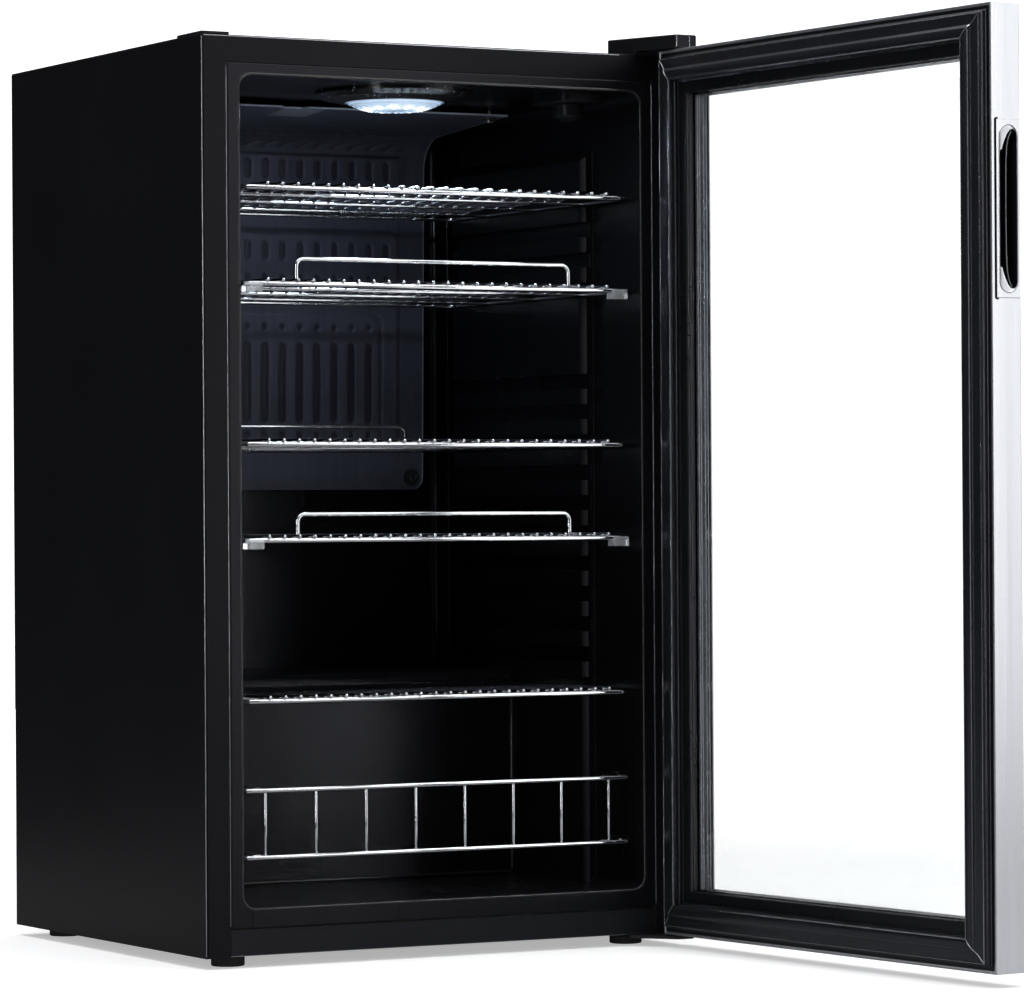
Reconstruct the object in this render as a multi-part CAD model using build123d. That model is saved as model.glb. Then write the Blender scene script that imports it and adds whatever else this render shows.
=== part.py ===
from build123d import *
import math
import os

# Beverage mini fridge with a framed glass door, in millimetres.
# The origin is the middle of the cabinet's footprint, on the floor. The front faces -Y, +Z is up.

os.makedirs("parts", exist_ok=True)

# ---------------------------------------------------------------- driving dimensions
WIDTH = 484.0
DEPTH = 424.0
CABINET_H = 814.0
FOOT_H = 10.0
SHEET = 1.0
POST_W = 24.0
TOE_KICK_H = 24.7

FRONT = -DEPTH / 2
BACK = DEPTH / 2
SIDE = WIDTH / 2
FLOOR_Z = FOOT_H
TOP_Z = FOOT_H + CABINET_H

# liner
CAVITY_HALF_W = 205.5
CAVITY_FLOOR = 52.5
CAVITY_CEILING = 789.5
CAVITY_BACK = 190.0
CAVITY_CORNER_R = 12.0
LINER_WALL = 2.0
LIP_PROUD = 0.5
HUMP_FRONT = 16.0
HUMP_TOP = 250.0
HUMP_EDGE_R = 14.0
RIB_FACE = 193.5
RIB_FRONT = -124.0
RIB_BACK = 136.0
RIB_TOP = 739.5
GROOVE_PITCH = 28.54
GROOVE_H = 14.0
GROOVE_BOTTOM_X = 202.5
FIRST_GROOVE_Z = 232.0
GROOVE_STEPS = [k for k in range(17) if k not in (11, 12)]

# compressor space
COMPARTMENT_FRONT = 52.0
COMPARTMENT_TOP = 214.0

# shelves: groove step, rear end, gallery rail place, end clips
SHELF_HALF_W = 200.0
SHELF_FRONT = -204.5
SHELF_REAR = 133.0
LOW_SHELF_REAR = 10.0
FRAME_WIRE = 4.6
DEPTH_WIRE = 3.4
WIRE_COUNT = 24
WIRE_PITCH = 15.14
RAIL_HALF_W = 140.0
RAIL_RISE = 25.5
RAIL_WIRE = 4.0
WELD = 0.35
CLIP_INNER = 179.0
CLIP_OUTER = 196.0
CLIP_DROP = 7.6

# door, drawn shut and then turned about its hinge
DOOR_T = 30.5
DOOR_BACK = FRONT - 12.5
DOOR_FACE = DOOR_BACK - DOOR_T
DOOR_BOTTOM = 11.5
DOOR_TOP = 825.9
DOOR_STEEL = 1.0
DOOR_FRAME_W = 43.0
DOOR_LINER_W = 41.0
GASKET_H = 11.5
GASKET_OUTER = 6.5
GASKET_INNER = 30.2
STEEL_LIP = 2.6
HINGE_X = 231.8
HINGE_Y = -239.2
HINGE_PIN_R = 3.0
HINGE_BORE_R = 3.06
OPEN_ANGLE = 94.0

HANDLE_TOP = 728.0
HANDLE_BOTTOM = 578.0
HANDLE_DEPTH = 22.0
HANDLE_FROM_BACK = 16.8
RECESS_L = 141.0
RECESS_W = 19.6
CUP_WALL = 1.4


# ---------------------------------------------------------------- small helpers
def block(x0, x1, y0, y1, z0, z1):
    """A box given by its limits."""
    middle = ((x0 + x1) / 2, (y0 + y1) / 2, (z0 + z1) / 2)
    return Pos(*middle) * Box(abs(x1 - x0), abs(y1 - y0), abs(z1 - z0))


def disc(x, y, z0, z1, radius):
    """An upright cylinder between two heights."""
    return Pos(x, y, (z0 + z1) / 2) * Cylinder(radius, abs(z1 - z0))


def rounded_prism(half_w, z0, z1, corner, y0, y1):
    """A rounded rectangle seen from the front, carried back from y0 to y1."""
    plane = Plane(origin=(0, y0, (z0 + z1) / 2), x_dir=(1, 0, 0), z_dir=(0, 1, 0))
    return extrude(plane * RectangleRounded(2 * half_w, z1 - z0, corner), amount=y1 - y0)


def prism(plane, points, amount):
    """A polygon on a plane, extruded along the plane's normal."""
    return extrude(plane * make_face(Polyline(*points, close=True)), amount=amount)


def rod(points, diameter, bend=0.0, closed=False):
    """A round wire through points, with its corners bent to one radius."""
    path = FilletPolyline(*points, radius=bend, close=closed) if bend else Polyline(*points)
    start = Plane(origin=path @ 0, z_dir=path % 0)
    return sweep(start * Circle(diameter / 2), path=path)


def straight(start, end, diameter):
    """A straight round wire."""
    return rod([start, end], diameter)


def both_sides(solid):
    """A solid and its mirror image across the middle plane."""
    return [solid, mirror(solid, about=Plane.YZ)]


def edges_along(solid, axis, test):
    """The edges that run along an axis and pass a test on their centre."""
    return solid.edges().filter_by(axis).filter_by(lambda edge: test(edge.center()))


nodes = {}


def keep(name, *solids):
    """Name a node made of one or more solids."""
    flat = []
    for item in solids:
        flat.extend(item if isinstance(item, (list, tuple)) else [item])
    pieces = []
    for item in flat:
        pieces.extend(item.solids())
    nodes[name] = pieces


# ---------------------------------------------------------------- cabinet shell
def side_panel():
    """Right side sheet with its front flange, cut to a mitre at the top."""
    skin = block(SIDE - SHEET, SIDE, FRONT, BACK - SHEET, FLOOR_Z, TOP_Z - SHEET)
    flange = block(SIDE - POST_W, SIDE - SHEET, FRONT, FRONT + SHEET, FLOOR_Z, TOP_Z - SHEET)
    corner = [(SIDE - POST_W, TOP_Z - POST_W), (SIDE, TOP_Z), (SIDE - POST_W, TOP_Z)]
    mitre = prism(Plane.XZ.offset(-FRONT - 2 * SHEET), corner, 3 * SHEET)
    panel = skin + flange - mitre
    bend = edges_along(panel, Axis.Z, lambda c: c.X > SIDE - 0.1 and c.Y < FRONT + 0.1)
    return fillet(bend, 0.9)


def top_panel():
    """Top sheet between the side sheets, with its front flange and two mitres."""
    skin = block(-SIDE, SIDE, FRONT, BACK - SHEET, TOP_Z - SHEET, TOP_Z)
    flange = block(-SIDE, SIDE, FRONT, FRONT + SHEET, TOP_Z - POST_W, TOP_Z - SHEET)
    corner = [
        (SIDE + 1, TOP_Z - POST_W - 1),
        (SIDE + 1, TOP_Z - SHEET),
        (SIDE - SHEET, TOP_Z - SHEET),
        (SIDE - POST_W - 1, TOP_Z - POST_W - 1),
    ]
    panel = skin + flange
    for cut in both_sides(prism(Plane.XZ.offset(-FRONT - 2 * SHEET), corner, 3 * SHEET)):
        panel -= cut
    bend = edges_along(panel, Axis.X, lambda c: c.Z > TOP_Z - 0.1 and c.Y < FRONT + 0.1)
    return fillet(bend, 0.9)


right_side = side_panel()
keep("right_side_panel", right_side)
keep("left_side_panel", mirror(right_side, about=Plane.YZ))
keep("top_panel", top_panel())
keep("rear_panel", block(-SIDE, SIDE, BACK - SHEET, BACK, COMPARTMENT_TOP + 2, TOP_Z - SHEET))
keep(
    "base_pan",
    block(-SIDE + SHEET, SIDE - SHEET, FRONT + 8, BACK - 2 * SHEET, FLOOR_Z, FLOOR_Z + SHEET),
)
KICK_HALF_W = SIDE - POST_W - 0.8
KICK_FACE = FRONT + 1.5
KICK_LOW = FLOOR_Z + 1.2
kick = block(-KICK_HALF_W, KICK_HALF_W, KICK_FACE, KICK_FACE + 2, KICK_LOW, FLOOR_Z + TOE_KICK_H - 0.6)
kick += block(-KICK_HALF_W, KICK_HALF_W, KICK_FACE, KICK_FACE + 6, KICK_LOW, KICK_LOW + 2)
keep("toe_kick", kick)
cap = block(-SIDE, -SIDE + 27, FRONT, FRONT + 50, TOP_Z, TOP_Z + 2.5)
keep("corner_cap", fillet(cap.edges().group_by(Axis.Z)[-1], 0.8))

# the sheet that steps over the compressor space
inner_half = SIDE - SHEET
step_wall = block(
    -inner_half, inner_half, COMPARTMENT_FRONT, COMPARTMENT_FRONT + SHEET, FLOOR_Z + SHEET, COMPARTMENT_TOP
)
step_roof = block(
    -inner_half, inner_half, COMPARTMENT_FRONT, BACK - SHEET, COMPARTMENT_TOP - SHEET, COMPARTMENT_TOP
)
keep("compartment_wall", step_wall + step_roof)


# ---------------------------------------------------------------- liner and foam
def rib_comb(depth_start):
    """The right wall's shelf ribs: a comb seen from the front, carried back along the wall."""
    floor = CAVITY_FLOOR - 1
    points = [(depth_start, floor), (RIB_FACE, floor)]
    for k in GROOVE_STEPS:
        low = FIRST_GROOVE_Z + k * GROOVE_PITCH
        points += [
            (RIB_FACE, low),
            (GROOVE_BOTTOM_X, low),
            (GROOVE_BOTTOM_X, low + GROOVE_H),
            (RIB_FACE, low + GROOVE_H),
        ]
    points += [(RIB_FACE, RIB_TOP - 8), (depth_start, RIB_TOP + 4)]
    return prism(Plane.XZ.offset(-RIB_FRONT), points, RIB_FRONT - RIB_BACK)


def rib_pockets():
    """Hollows behind the ribs, left open to the foam side."""
    outer = CAVITY_HALF_W + LINER_WALL
    shelf_bottoms = [FIRST_GROOVE_Z + k * GROOVE_PITCH for k in GROOVE_STEPS]
    ridge_ends = [(CAVITY_FLOOR + 14, shelf_bottoms[0])]
    for low, high in zip(shelf_bottoms, shelf_bottoms[1:]):
        ridge_ends.append((low + GROOVE_H, high))
    ridge_ends.append((shelf_bottoms[-1] + GROOVE_H, RIB_TOP - 8))
    return [
        block(RIB_FACE + LINER_WALL, outer + 1, RIB_FRONT + 4, RIB_BACK - 4, low + 2, high - 2)
        for low, high in ridge_ends
    ]


def air_space():
    """Everything inside the liner that is air."""
    space = rounded_prism(
        CAVITY_HALF_W, CAVITY_FLOOR, CAVITY_CEILING, CAVITY_CORNER_R, FRONT - 3, CAVITY_BACK
    )
    hump = block(-SIDE, SIDE, HUMP_FRONT, BACK, 0, HUMP_TOP)
    top_front = edges_along(hump, Axis.X, lambda c: c.Z > HUMP_TOP - 1 and c.Y < HUMP_FRONT + 1)
    hump = fillet(top_front, HUMP_EDGE_R)
    space -= hump
    comb = rib_comb(CAVITY_HALF_W + 1)
    ends = comb.edges().filter_by(Axis.Z).filter_by(
        lambda edge: abs(edge.center().X - RIB_FACE) < 0.1
        and min(abs(edge.center().Y - RIB_FRONT), abs(edge.center().Y - RIB_BACK)) < 0.1
    )
    comb = chamfer(ends, 5.0)
    for ribs in both_sides(comb):
        space -= ribs
    upright = edges_along(
        space, Axis.Z, lambda c: abs(c.Y - CAVITY_BACK) < 0.1 and abs(c.X) > CAVITY_HALF_W - 1
    )
    return fillet(upright, 9.0)


def liner_body(space):
    """The liner: a box round the air, open in front, with its lip and its hollow ribs."""
    outer = CAVITY_HALF_W + LINER_WALL
    low = CAVITY_FLOOR - LINER_WALL
    high = CAVITY_CEILING + LINER_WALL
    shell = block(-outer, outer, FRONT + 1.4, CAVITY_BACK + LINER_WALL, low, high)
    under_step = block(-SIDE, SIDE, HUMP_FRONT + LINER_WALL, BACK, 0, HUMP_TOP - LINER_WALL)
    inner_edge = edges_along(under_step, Axis.X, lambda c: c.Z > 100 and c.Y < HUMP_FRONT + 4)
    shell -= fillet(inner_edge, HUMP_EDGE_R - LINER_WALL)
    half = SIDE - POST_W - 0.2
    lip_top = TOP_Z - POST_W - 0.2
    lip_low = FLOOR_Z + TOE_KICK_H
    lip = block(-half, half, FRONT - LIP_PROUD, FRONT + 2, lip_low, lip_top)
    rim = lip.faces().sort_by(Axis.Y)[0].edges()
    shell += fillet(rim, 1.4)
    shell += block(-half - 6, half + 6, FRONT + SHEET + 0.1, FRONT + 2.4, lip_low, lip_top + 6)
    for pocket in rib_pockets():
        for hollow in both_sides(pocket):
            shell -= hollow
    shell -= space
    mouth = shell.edges().filter_by(
        lambda edge: abs(edge.center().Y - FRONT + LIP_PROUD) < 0.05
        and abs(edge.center().X) < CAVITY_HALF_W + 1
        and CAVITY_FLOOR - 1 < edge.center().Z < CAVITY_CEILING + 1
    )
    return fillet(mouth, 1.6)


air = air_space()
liner = liner_body(air)
keep("liner", liner)

foam = block(
    -SIDE + SHEET, SIDE - SHEET, FRONT + 2.4, BACK - SHEET, FLOOR_Z + SHEET, TOP_Z - SHEET
)
foam -= block(-SIDE, SIDE, COMPARTMENT_FRONT, BACK, 0, COMPARTMENT_TOP)
foam -= block(-230, 230, FRONT, FRONT + 8, 0, FLOOR_Z + TOE_KICK_H)
liner_form = block(
    -CAVITY_HALF_W - LINER_WALL,
    CAVITY_HALF_W + LINER_WALL,
    FRONT,
    CAVITY_BACK + LINER_WALL,
    CAVITY_FLOOR - LINER_WALL,
    CAVITY_CEILING + LINER_WALL,
)
step_form = block(-SIDE, SIDE, HUMP_FRONT + LINER_WALL, BACK, 0, HUMP_TOP - LINER_WALL)
step_edge = edges_along(step_form, Axis.X, lambda c: c.Z > 100 and c.Y < HUMP_FRONT + 4)
foam -= liner_form - fillet(step_edge, HUMP_EDGE_R - LINER_WALL)

# the warm tube that runs up and down inside the right side sheet
CONDENSER_X = SIDE - SHEET - 3.0
CONDENSER_TUBE = 4.8
turns = []
for i, y in enumerate(range(-170, 171, 40)):
    ends = (260.0, 760.0) if i % 2 == 0 else (760.0, 260.0)
    turns += [(CONDENSER_X, y, ends[0]), (CONDENSER_X, y, ends[1])]
condenser = rod(turns, CONDENSER_TUBE, bend=18.0)
keep("condenser_tube", condenser)
foam -= condenser
keep("insulation_foam", foam)

# ---------------------------------------------------------------- evaporator
EVAP_HALF_W = 186.0
EVAP_T = 1.6
EVAP_BEND_R = 36.0
EVAP_BOTTOM = 425.0
EVAP_CORNER_R = 14.0
evap_line = FilletPolyline((3.0, 785.5), (177.0, 773.5), (184.0, EVAP_BOTTOM), radius=EVAP_BEND_R)
evap_face = Plane.YZ.offset(-EVAP_HALF_W) * trace(evap_line, line_width=EVAP_T)
evaporator = extrude(evap_face, amount=2 * EVAP_HALF_W)
low_corners = evaporator.edges().filter_by(
    lambda edge: edge.center().Z < EVAP_BOTTOM + 5
    and abs(edge.center().X) > EVAP_HALF_W - 0.1
    and edge.length < 3
)
evaporator = fillet(low_corners, EVAP_CORNER_R)
LOW_SCREW_X = 172.0
LOW_SCREW_Z = 437.0
HIGH_SCREW_X = 176.0
HIGH_SCREW_Y = 22.0
grommets = []
screws = []
for x in (-LOW_SCREW_X, LOW_SCREW_X):
    line = Plane(origin=(x, 180.5, LOW_SCREW_Z), z_dir=(0, -1, 0))
    evaporator -= line * Cylinder(4.2, 16)
    ring = line * Pos(0, 0, 1.0) * Cylinder(8.0, 4.0)
    neck = line * Pos(0, 0, -4.5) * Cylinder(4.1, 7.2)
    bore = line * Cylinder(2.05, 40)
    grommets.append(ring + neck - bore)
    shank = line * Pos(0, 0, -3.15) * Cylinder(2.0, 12.5)
    head = line * Pos(0, 0, 4.1) * Cylinder(4.0, 2.2)
    screws.append(shank + head)
for x in (-HIGH_SCREW_X, HIGH_SCREW_X):
    evaporator -= disc(x, HIGH_SCREW_Y, 775, 792, 2.3)
    washer = disc(x, HIGH_SCREW_Y, 780.4, 782.7, 6.5) - disc(x, HIGH_SCREW_Y, 770, 800, 2.05)
    grommets.append(washer)
    screws.append(disc(x, HIGH_SCREW_Y, 780.4, 789.4, 2.0) + disc(x, HIGH_SCREW_Y, 778.0, 780.4, 4.0))
keep("evaporator_plate", evaporator)
keep("evaporator_grommets", grommets)
keep("evaporator_screws", screws)

# ---------------------------------------------------------------- ceiling light
LIGHT_Y = -116.0
DISH_TOP = CAVITY_CEILING - 0.1
DISH_FLOOR = DISH_TOP - 3.0
DISH_RIM = DISH_TOP - 10.4
DISH_R = 73.0
DISH_MOUTH_R = 46.3
LENS_R = 45.8
LENS_WALL = 2.0
LENS_TOP = 782.0
LENS_LOW = 771.8
LAMP_COUNT = 12
LAMP_RING_R = 29.0
LAMP_SIZE = 5.0
BOARD_T = 1.6


def turned(points):
    """A section given as radius and height, turned round the light's upright axis."""
    return Pos(0, LIGHT_Y, 0) * revolve(Plane.XZ * make_face(Polyline(*points, close=True)), axis=Axis.Z)


dish_section = [
    (0, DISH_TOP),
    (DISH_R, DISH_TOP),
    (DISH_R, DISH_FLOOR + 0.1),
    (DISH_R - 7, DISH_FLOOR - 3.9),
    (DISH_MOUTH_R + 2.7, DISH_RIM),
    (DISH_MOUTH_R, DISH_RIM),
    (DISH_MOUTH_R, DISH_FLOOR),
    (0, DISH_FLOOR),
]
keep("light_housing", turned(dish_section))
lens_section = [
    (0, LENS_LOW),
    (LENS_R - 7.8, LENS_LOW + 0.8),
    (LENS_R, LENS_LOW + 4.8),
    (LENS_R, LENS_TOP),
    (LENS_R - LENS_WALL, LENS_TOP),
    (LENS_R - LENS_WALL, LENS_LOW + LENS_WALL + 4),
    (LENS_R - 8.8, LENS_LOW + LENS_WALL + 0.8),
    (0, LENS_LOW + LENS_WALL),
]
keep("light_lens", turned(lens_section))
board = disc(0, LIGHT_Y, DISH_FLOOR - BOARD_T, DISH_FLOOR, 42.0)
lamps = []
for i in range(LAMP_COUNT):
    angle = 2 * math.pi * i / LAMP_COUNT
    lamp = Box(LAMP_SIZE, LAMP_SIZE, BOARD_T)
    x = LAMP_RING_R * math.cos(angle)
    y = LIGHT_Y + LAMP_RING_R * math.sin(angle)
    lamps.append(Pos(x, y, DISH_FLOOR - 1.5 * BOARD_T) * lamp)
keep("light_board", board)
keep("light_lamps", lamps)

# ---------------------------------------------------------------- thermostat
DIAL_X = 167.0
DIAL_Y = -146.0
CASE_W = 48.0
CASE_L = 62.0
CASE_LOW = CAVITY_CEILING - 8.1
DIAL_R = 14.0
DIAL_TOP = CASE_LOW - 0.5
DIAL_LOW = 769.0
SHAFT_R = 3.2
case = block(
    DIAL_X - CASE_W / 2, DIAL_X + CASE_W / 2, DIAL_Y - CASE_L / 2, DIAL_Y + CASE_L / 2, CASE_LOW, CASE_LOW + 8
)
case = fillet(case.edges().filter_by(Axis.Z), 10.0)
case = fillet(case.faces().sort_by(Axis.Z)[0].edges(), 2.0)
keep("thermostat_body", case - disc(DIAL_X, DIAL_Y, CASE_LOW - 5, CAVITY_CEILING + 5, SHAFT_R + 0.1))
dial = disc(DIAL_X, DIAL_Y, DIAL_LOW, DIAL_TOP, DIAL_R)
dial = fillet(dial.faces().sort_by(Axis.Z)[0].edges(), 2.0)
dial += block(
    DIAL_X - 2.2, DIAL_X + 2.2, DIAL_Y - DIAL_R + 1.5, DIAL_Y + DIAL_R - 1.5, DIAL_LOW - 2.5, DIAL_LOW + 0.5
)
dial += disc(DIAL_X, DIAL_Y, DIAL_TOP, CAVITY_CEILING - 1, SHAFT_R)
keep("thermostat_dial", dial)

# ---------------------------------------------------------------- bottle guard
GUARD_Y = -200.0
GUARD_WIRE = 4.4
GUARD_LOW = 96.0
GUARD_HIGH = 155.5
GUARD_HALF = 198.5
GUARD_RETURN = 14.0
GUARD_HAIRPIN = 22.0
GUARD_UPRIGHT = 3.0
GUARD_UPRIGHT_PITCH = 50.44


def guard_bar(z):
    """A long bar whose ends turn back in a hairpin."""
    inner = GUARD_HALF - GUARD_HAIRPIN
    points = [
        (-inner, GUARD_Y + GUARD_RETURN, z),
        (-GUARD_HALF, GUARD_Y + GUARD_RETURN, z),
        (-GUARD_HALF, GUARD_Y, z),
        (GUARD_HALF, GUARD_Y, z),
        (GUARD_HALF, GUARD_Y + GUARD_RETURN, z),
        (inner, GUARD_Y + GUARD_RETURN, z),
    ]
    return rod(points, GUARD_WIRE, bend=6.4)


guard = guard_bar(GUARD_LOW) + guard_bar(GUARD_HIGH)
for i in range(8):
    x = GUARD_UPRIGHT_PITCH * (i - 3.5)
    y = GUARD_Y + GUARD_WIRE / 2 + 1.0
    guard += straight((x, y, GUARD_LOW - 1.5), (x, y, GUARD_HIGH + 1.5), GUARD_UPRIGHT)
keep("guard_rail", guard)
studs = []
for z in (GUARD_LOW, GUARD_HIGH):
    stud = block(184.0, CAVITY_HALF_W, GUARD_Y + 16.4, GUARD_Y + 21.4, z - 5, z + 5)
    tongue = block(184.0, 192.0, GUARD_Y + 8.0, GUARD_Y + 21.4, z + GUARD_WIRE / 2 + 0.05, z + 5)
    studs += both_sides(fillet((stud + tongue).edges().filter_by(Axis.X), 0.8))
keep("guard_rail_clips", studs)


# ---------------------------------------------------------------- shelves
def shelf_frame(level, rear, diameter):
    """The bent wire that runs round a shelf."""
    half = SHELF_HALF_W - FRAME_WIRE / 2
    front = SHELF_FRONT + FRAME_WIRE / 2
    z = level + FRAME_WIRE / 2
    corners = [(-half, rear, z), (-half, front, z), (half, front, z), (half, rear, z)]
    return rod(corners, diameter, bend=12.0, closed=True)


def wire_shelf(level, rear):
    """A welded shelf: a bent frame, bars across it and thin wires from front to back on top."""
    half = SHELF_HALF_W - FRAME_WIRE / 2
    front = SHELF_FRONT + FRAME_WIRE / 2
    z = level + FRAME_WIRE / 2
    shelf = shelf_frame(level, rear, FRAME_WIRE)
    cross = [front + 11.0] + [y for y in (-119.0, -27.0, 65.0) if y < rear - 20]
    for y in cross:
        shelf += straight((-half, y, z), (half, y, z), FRAME_WIRE - 0.8)
    top = z + FRAME_WIRE / 2 + DEPTH_WIRE / 2 - WELD
    for i in range(WIRE_COUNT):
        x = WIRE_PITCH * (i - (WIRE_COUNT - 1) / 2)
        shelf += straight((x, front - 1.8, top), (x, rear + 1.8, top), DEPTH_WIRE)
    return shelf


def gallery_rail(level, y):
    """The low rail that stands on a shelf and stops bottles."""
    foot = level + FRAME_WIRE + 0.02
    top = level + RAIL_RISE
    left = [(-RAIL_HALF_W, y, foot), (-RAIL_HALF_W, y, top)]
    right = [(RAIL_HALF_W, y, top), (RAIL_HALF_W, y, foot)]
    return rod(left + right, RAIL_WIRE, bend=7.0)


def end_clips(level):
    """The small clear clips that hang under the front corners of a shelf."""
    front = SHELF_FRONT + FRAME_WIRE / 2
    z = level + FRAME_WIRE / 2
    wire = shelf_frame(level, SHELF_REAR, FRAME_WIRE + 0.04)
    clips = []
    for side in (-1, 1):
        clip = block(side * CLIP_INNER, side * CLIP_OUTER, front - 3.4, front + 8.5, z - CLIP_DROP, z + 1.2)
        clips.append(fillet(clip.edges().filter_by(Axis.Z), 2.0) - wire)
    return clips


SHELVES = [(16, SHELF_REAR), (13, SHELF_REAR), (8, SHELF_REAR), (5, SHELF_REAR), (0, LOW_SHELF_REAR)]
for number, (step, rear) in enumerate(SHELVES, start=1):
    level = FIRST_GROOVE_Z + step * GROOVE_PITCH + 0.35
    keep(f"shelf_{number}", wire_shelf(level, rear))
    if number in (2, 4):
        keep(f"shelf_{number}_rail", gallery_rail(level, SHELF_FRONT + FRAME_WIRE / 2 + 11.0))
        keep(f"shelf_{number}_clips", end_clips(level))
    if number == 3:
        keep("shelf_3_rail", gallery_rail(level, SHELF_REAR))


# ---------------------------------------------------------------- cooling system
COMP_X = 70.0
COMP_Y = 128.0
COMP_BASE = FLOOR_Z + SHEET + 22
COMP_R = 58.0
COMP_H = 118.0
SEAM_Z = COMP_BASE + 56
PLATE_HALF_X = 84.0
PLATE_HALF_Y = 38.0
MOUNT_X = 74.0
MOUNT_Y = 28.0
compressor = disc(COMP_X, COMP_Y, COMP_BASE, COMP_BASE + COMP_H, COMP_R)
compressor = fillet(compressor.edges(), 24.0)
compressor += disc(COMP_X, COMP_Y, SEAM_Z, SEAM_Z + 4, COMP_R + 2.5)
compressor += block(
    COMP_X - PLATE_HALF_X,
    COMP_X + PLATE_HALF_X,
    COMP_Y - PLATE_HALF_Y,
    COMP_Y + PLATE_HALF_Y,
    COMP_BASE - 3,
    COMP_BASE + 2.5,
)
keep("compressor", compressor)
mounts = []
for x in (COMP_X - MOUNT_X, COMP_X + MOUNT_X):
    for y in (COMP_Y - MOUNT_Y, COMP_Y + MOUNT_Y):
        mounts.append(disc(x, y, FLOOR_Z + SHEET, COMP_BASE - 3, 9.0))
keep("compressor_mounts", mounts)
terminal_x = COMP_X - COMP_R
terminal = block(terminal_x - 30, terminal_x - 4.5, COMP_Y - 24, COMP_Y + 24, COMP_BASE + 34, COMP_BASE + 92)
keep("compressor_terminal_cover", fillet(terminal.edges().filter_by(Axis.Y), 5.0))

TRAY_HALF_X = 58.0
TRAY_HALF_Y = 52.0
TRAY_WALL = 2.0
TRAY_LOW = COMP_BASE + COMP_H + 0.3
TRAY_H = 25.7


def tray_block(inset, low, high):
    """A box over the compressor, drawn in from the tray's outside."""
    half_x = TRAY_HALF_X - inset
    half_y = TRAY_HALF_Y - inset
    return block(COMP_X - half_x, COMP_X + half_x, COMP_Y - half_y, COMP_Y + half_y, low, high)


tray = tray_block(0, TRAY_LOW, TRAY_LOW + TRAY_H)
tray = fillet(tray.edges().filter_by(Axis.Z), 12.0)
keep("drip_tray", tray - tray_block(TRAY_WALL, TRAY_LOW + TRAY_WALL, TRAY_LOW + TRAY_H + 6))

DRIER_X = -60.0
DRIER_Y = 150.0
DRIER_Z = 120.0
DRIER_R = 9.5
DRIER_HALF = 34.0
DRIER_NECK_R = 2.6
TUBE_END = COMPARTMENT_TOP - SHEET - 0.4
drier_section = [
    (0, -DRIER_HALF - 18),
    (DRIER_NECK_R, -DRIER_HALF - 18),
    (DRIER_NECK_R, -DRIER_HALF - 10),
    (DRIER_R, -DRIER_HALF),
    (DRIER_R, DRIER_HALF),
    (DRIER_NECK_R, DRIER_HALF + 10),
    (DRIER_NECK_R, DRIER_HALF + 18),
    (0, DRIER_HALF + 18),
]
drier = revolve(Plane.XZ * make_face(Polyline(*drier_section, close=True)), axis=Axis.Z)
keep("filter_drier", Pos(DRIER_X, DRIER_Y, DRIER_Z) * drier)
suction_line = [(COMP_X + COMP_R + 2.5, COMP_Y, 95), (190, COMP_Y, 95), (190, COMP_Y, TUBE_END)]
keep("suction_tube", rod(suction_line, 6.4, bend=16.0))
liquid_line = [
    (DRIER_X, DRIER_Y, DRIER_Z + DRIER_HALF + 18.1),
    (DRIER_X, DRIER_Y, 190),
    (DRIER_X - 40, DRIER_Y, 190),
    (DRIER_X - 40, DRIER_Y, TUBE_END),
]
keep("liquid_tube", rod(liquid_line, 4.8, bend=8.0))

# rear grille over the compressor space, with slots and the cord gland
GRILLE_TOP = COMPARTMENT_TOP + 1.6
grille = block(-SIDE + 1.2, SIDE - 1.2, BACK - SHEET, BACK, FLOOR_Z + SHEET + 0.2, GRILLE_TOP)
slot_plane = Plane(origin=(0, BACK, 0), x_dir=(1, 0, 0), z_dir=(0, 1, 0))
for row in range(4):
    for column in range(9):
        x = (column - 4) * 44.0
        z = 60 + row * 38.0
        if column == 0 and row == 0:
            continue
        slot = Pos(x, BACK, z) * Box(32, 6, 7)
        grille -= slot
gland_x, gland_z = -205.0, 34.0
gland_hole = Plane(origin=(gland_x, BACK, gland_z), z_dir=(0, 1, 0))
grille -= gland_hole * Cylinder(8.0, 8)
keep("rear_grille", grille)
gland = gland_hole * Pos(0, 0, 2.0) * Cylinder(11.0, 4.0)
gland += gland_hole * Pos(0, 0, -4.0) * Cylinder(7.9, 10.0)
gland -= gland_hole * Cylinder(3.6, 40)
keep("cord_gland", gland)

# ---------------------------------------------------------------- feet
FOOT_X = 205.0
FRONT_FOOT_Y = -178.0
REAR_FOOT_Y = 180.0
rear_feet = []
for x in (-FOOT_X, FOOT_X):
    pad = disc(x, REAR_FOOT_Y, 0, FLOOR_Z, 15.0)
    rear_feet.append(fillet(pad.faces().sort_by(Axis.Z)[0].edges(), 1.5))
keep("rear_feet", rear_feet)


def levelling_foot(x):
    """A pad on a threaded stud that turns in the base pan."""
    pad = disc(x, FRONT_FOOT_Y, 0, 8.5, 15.0)
    pad = fillet(pad.faces().sort_by(Axis.Z)[0].edges(), 1.5)
    return pad + disc(x, FRONT_FOOT_Y, 8.5, 30.0, 3.9)


foot_nuts = []
pan = nodes["base_pan"][0]
foam = nodes["insulation_foam"][0]
for x in (-FOOT_X, FOOT_X):
    pan -= disc(x, FRONT_FOOT_Y, 5, 15, 3.96)
    foam -= disc(x, FRONT_FOOT_Y, 10, 32, 9.0)
    nut = disc(x, FRONT_FOOT_Y, FLOOR_Z + SHEET, 19.0, 9.0) - disc(x, FRONT_FOOT_Y, 5, 25, 3.96)
    foot_nuts.append(nut)
keep("base_pan", pan)
keep("insulation_foam", foam)
keep("foot_nuts", foot_nuts)
keep("left_levelling_foot", levelling_foot(-FOOT_X))
keep("right_levelling_foot", levelling_foot(FOOT_X))


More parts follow.
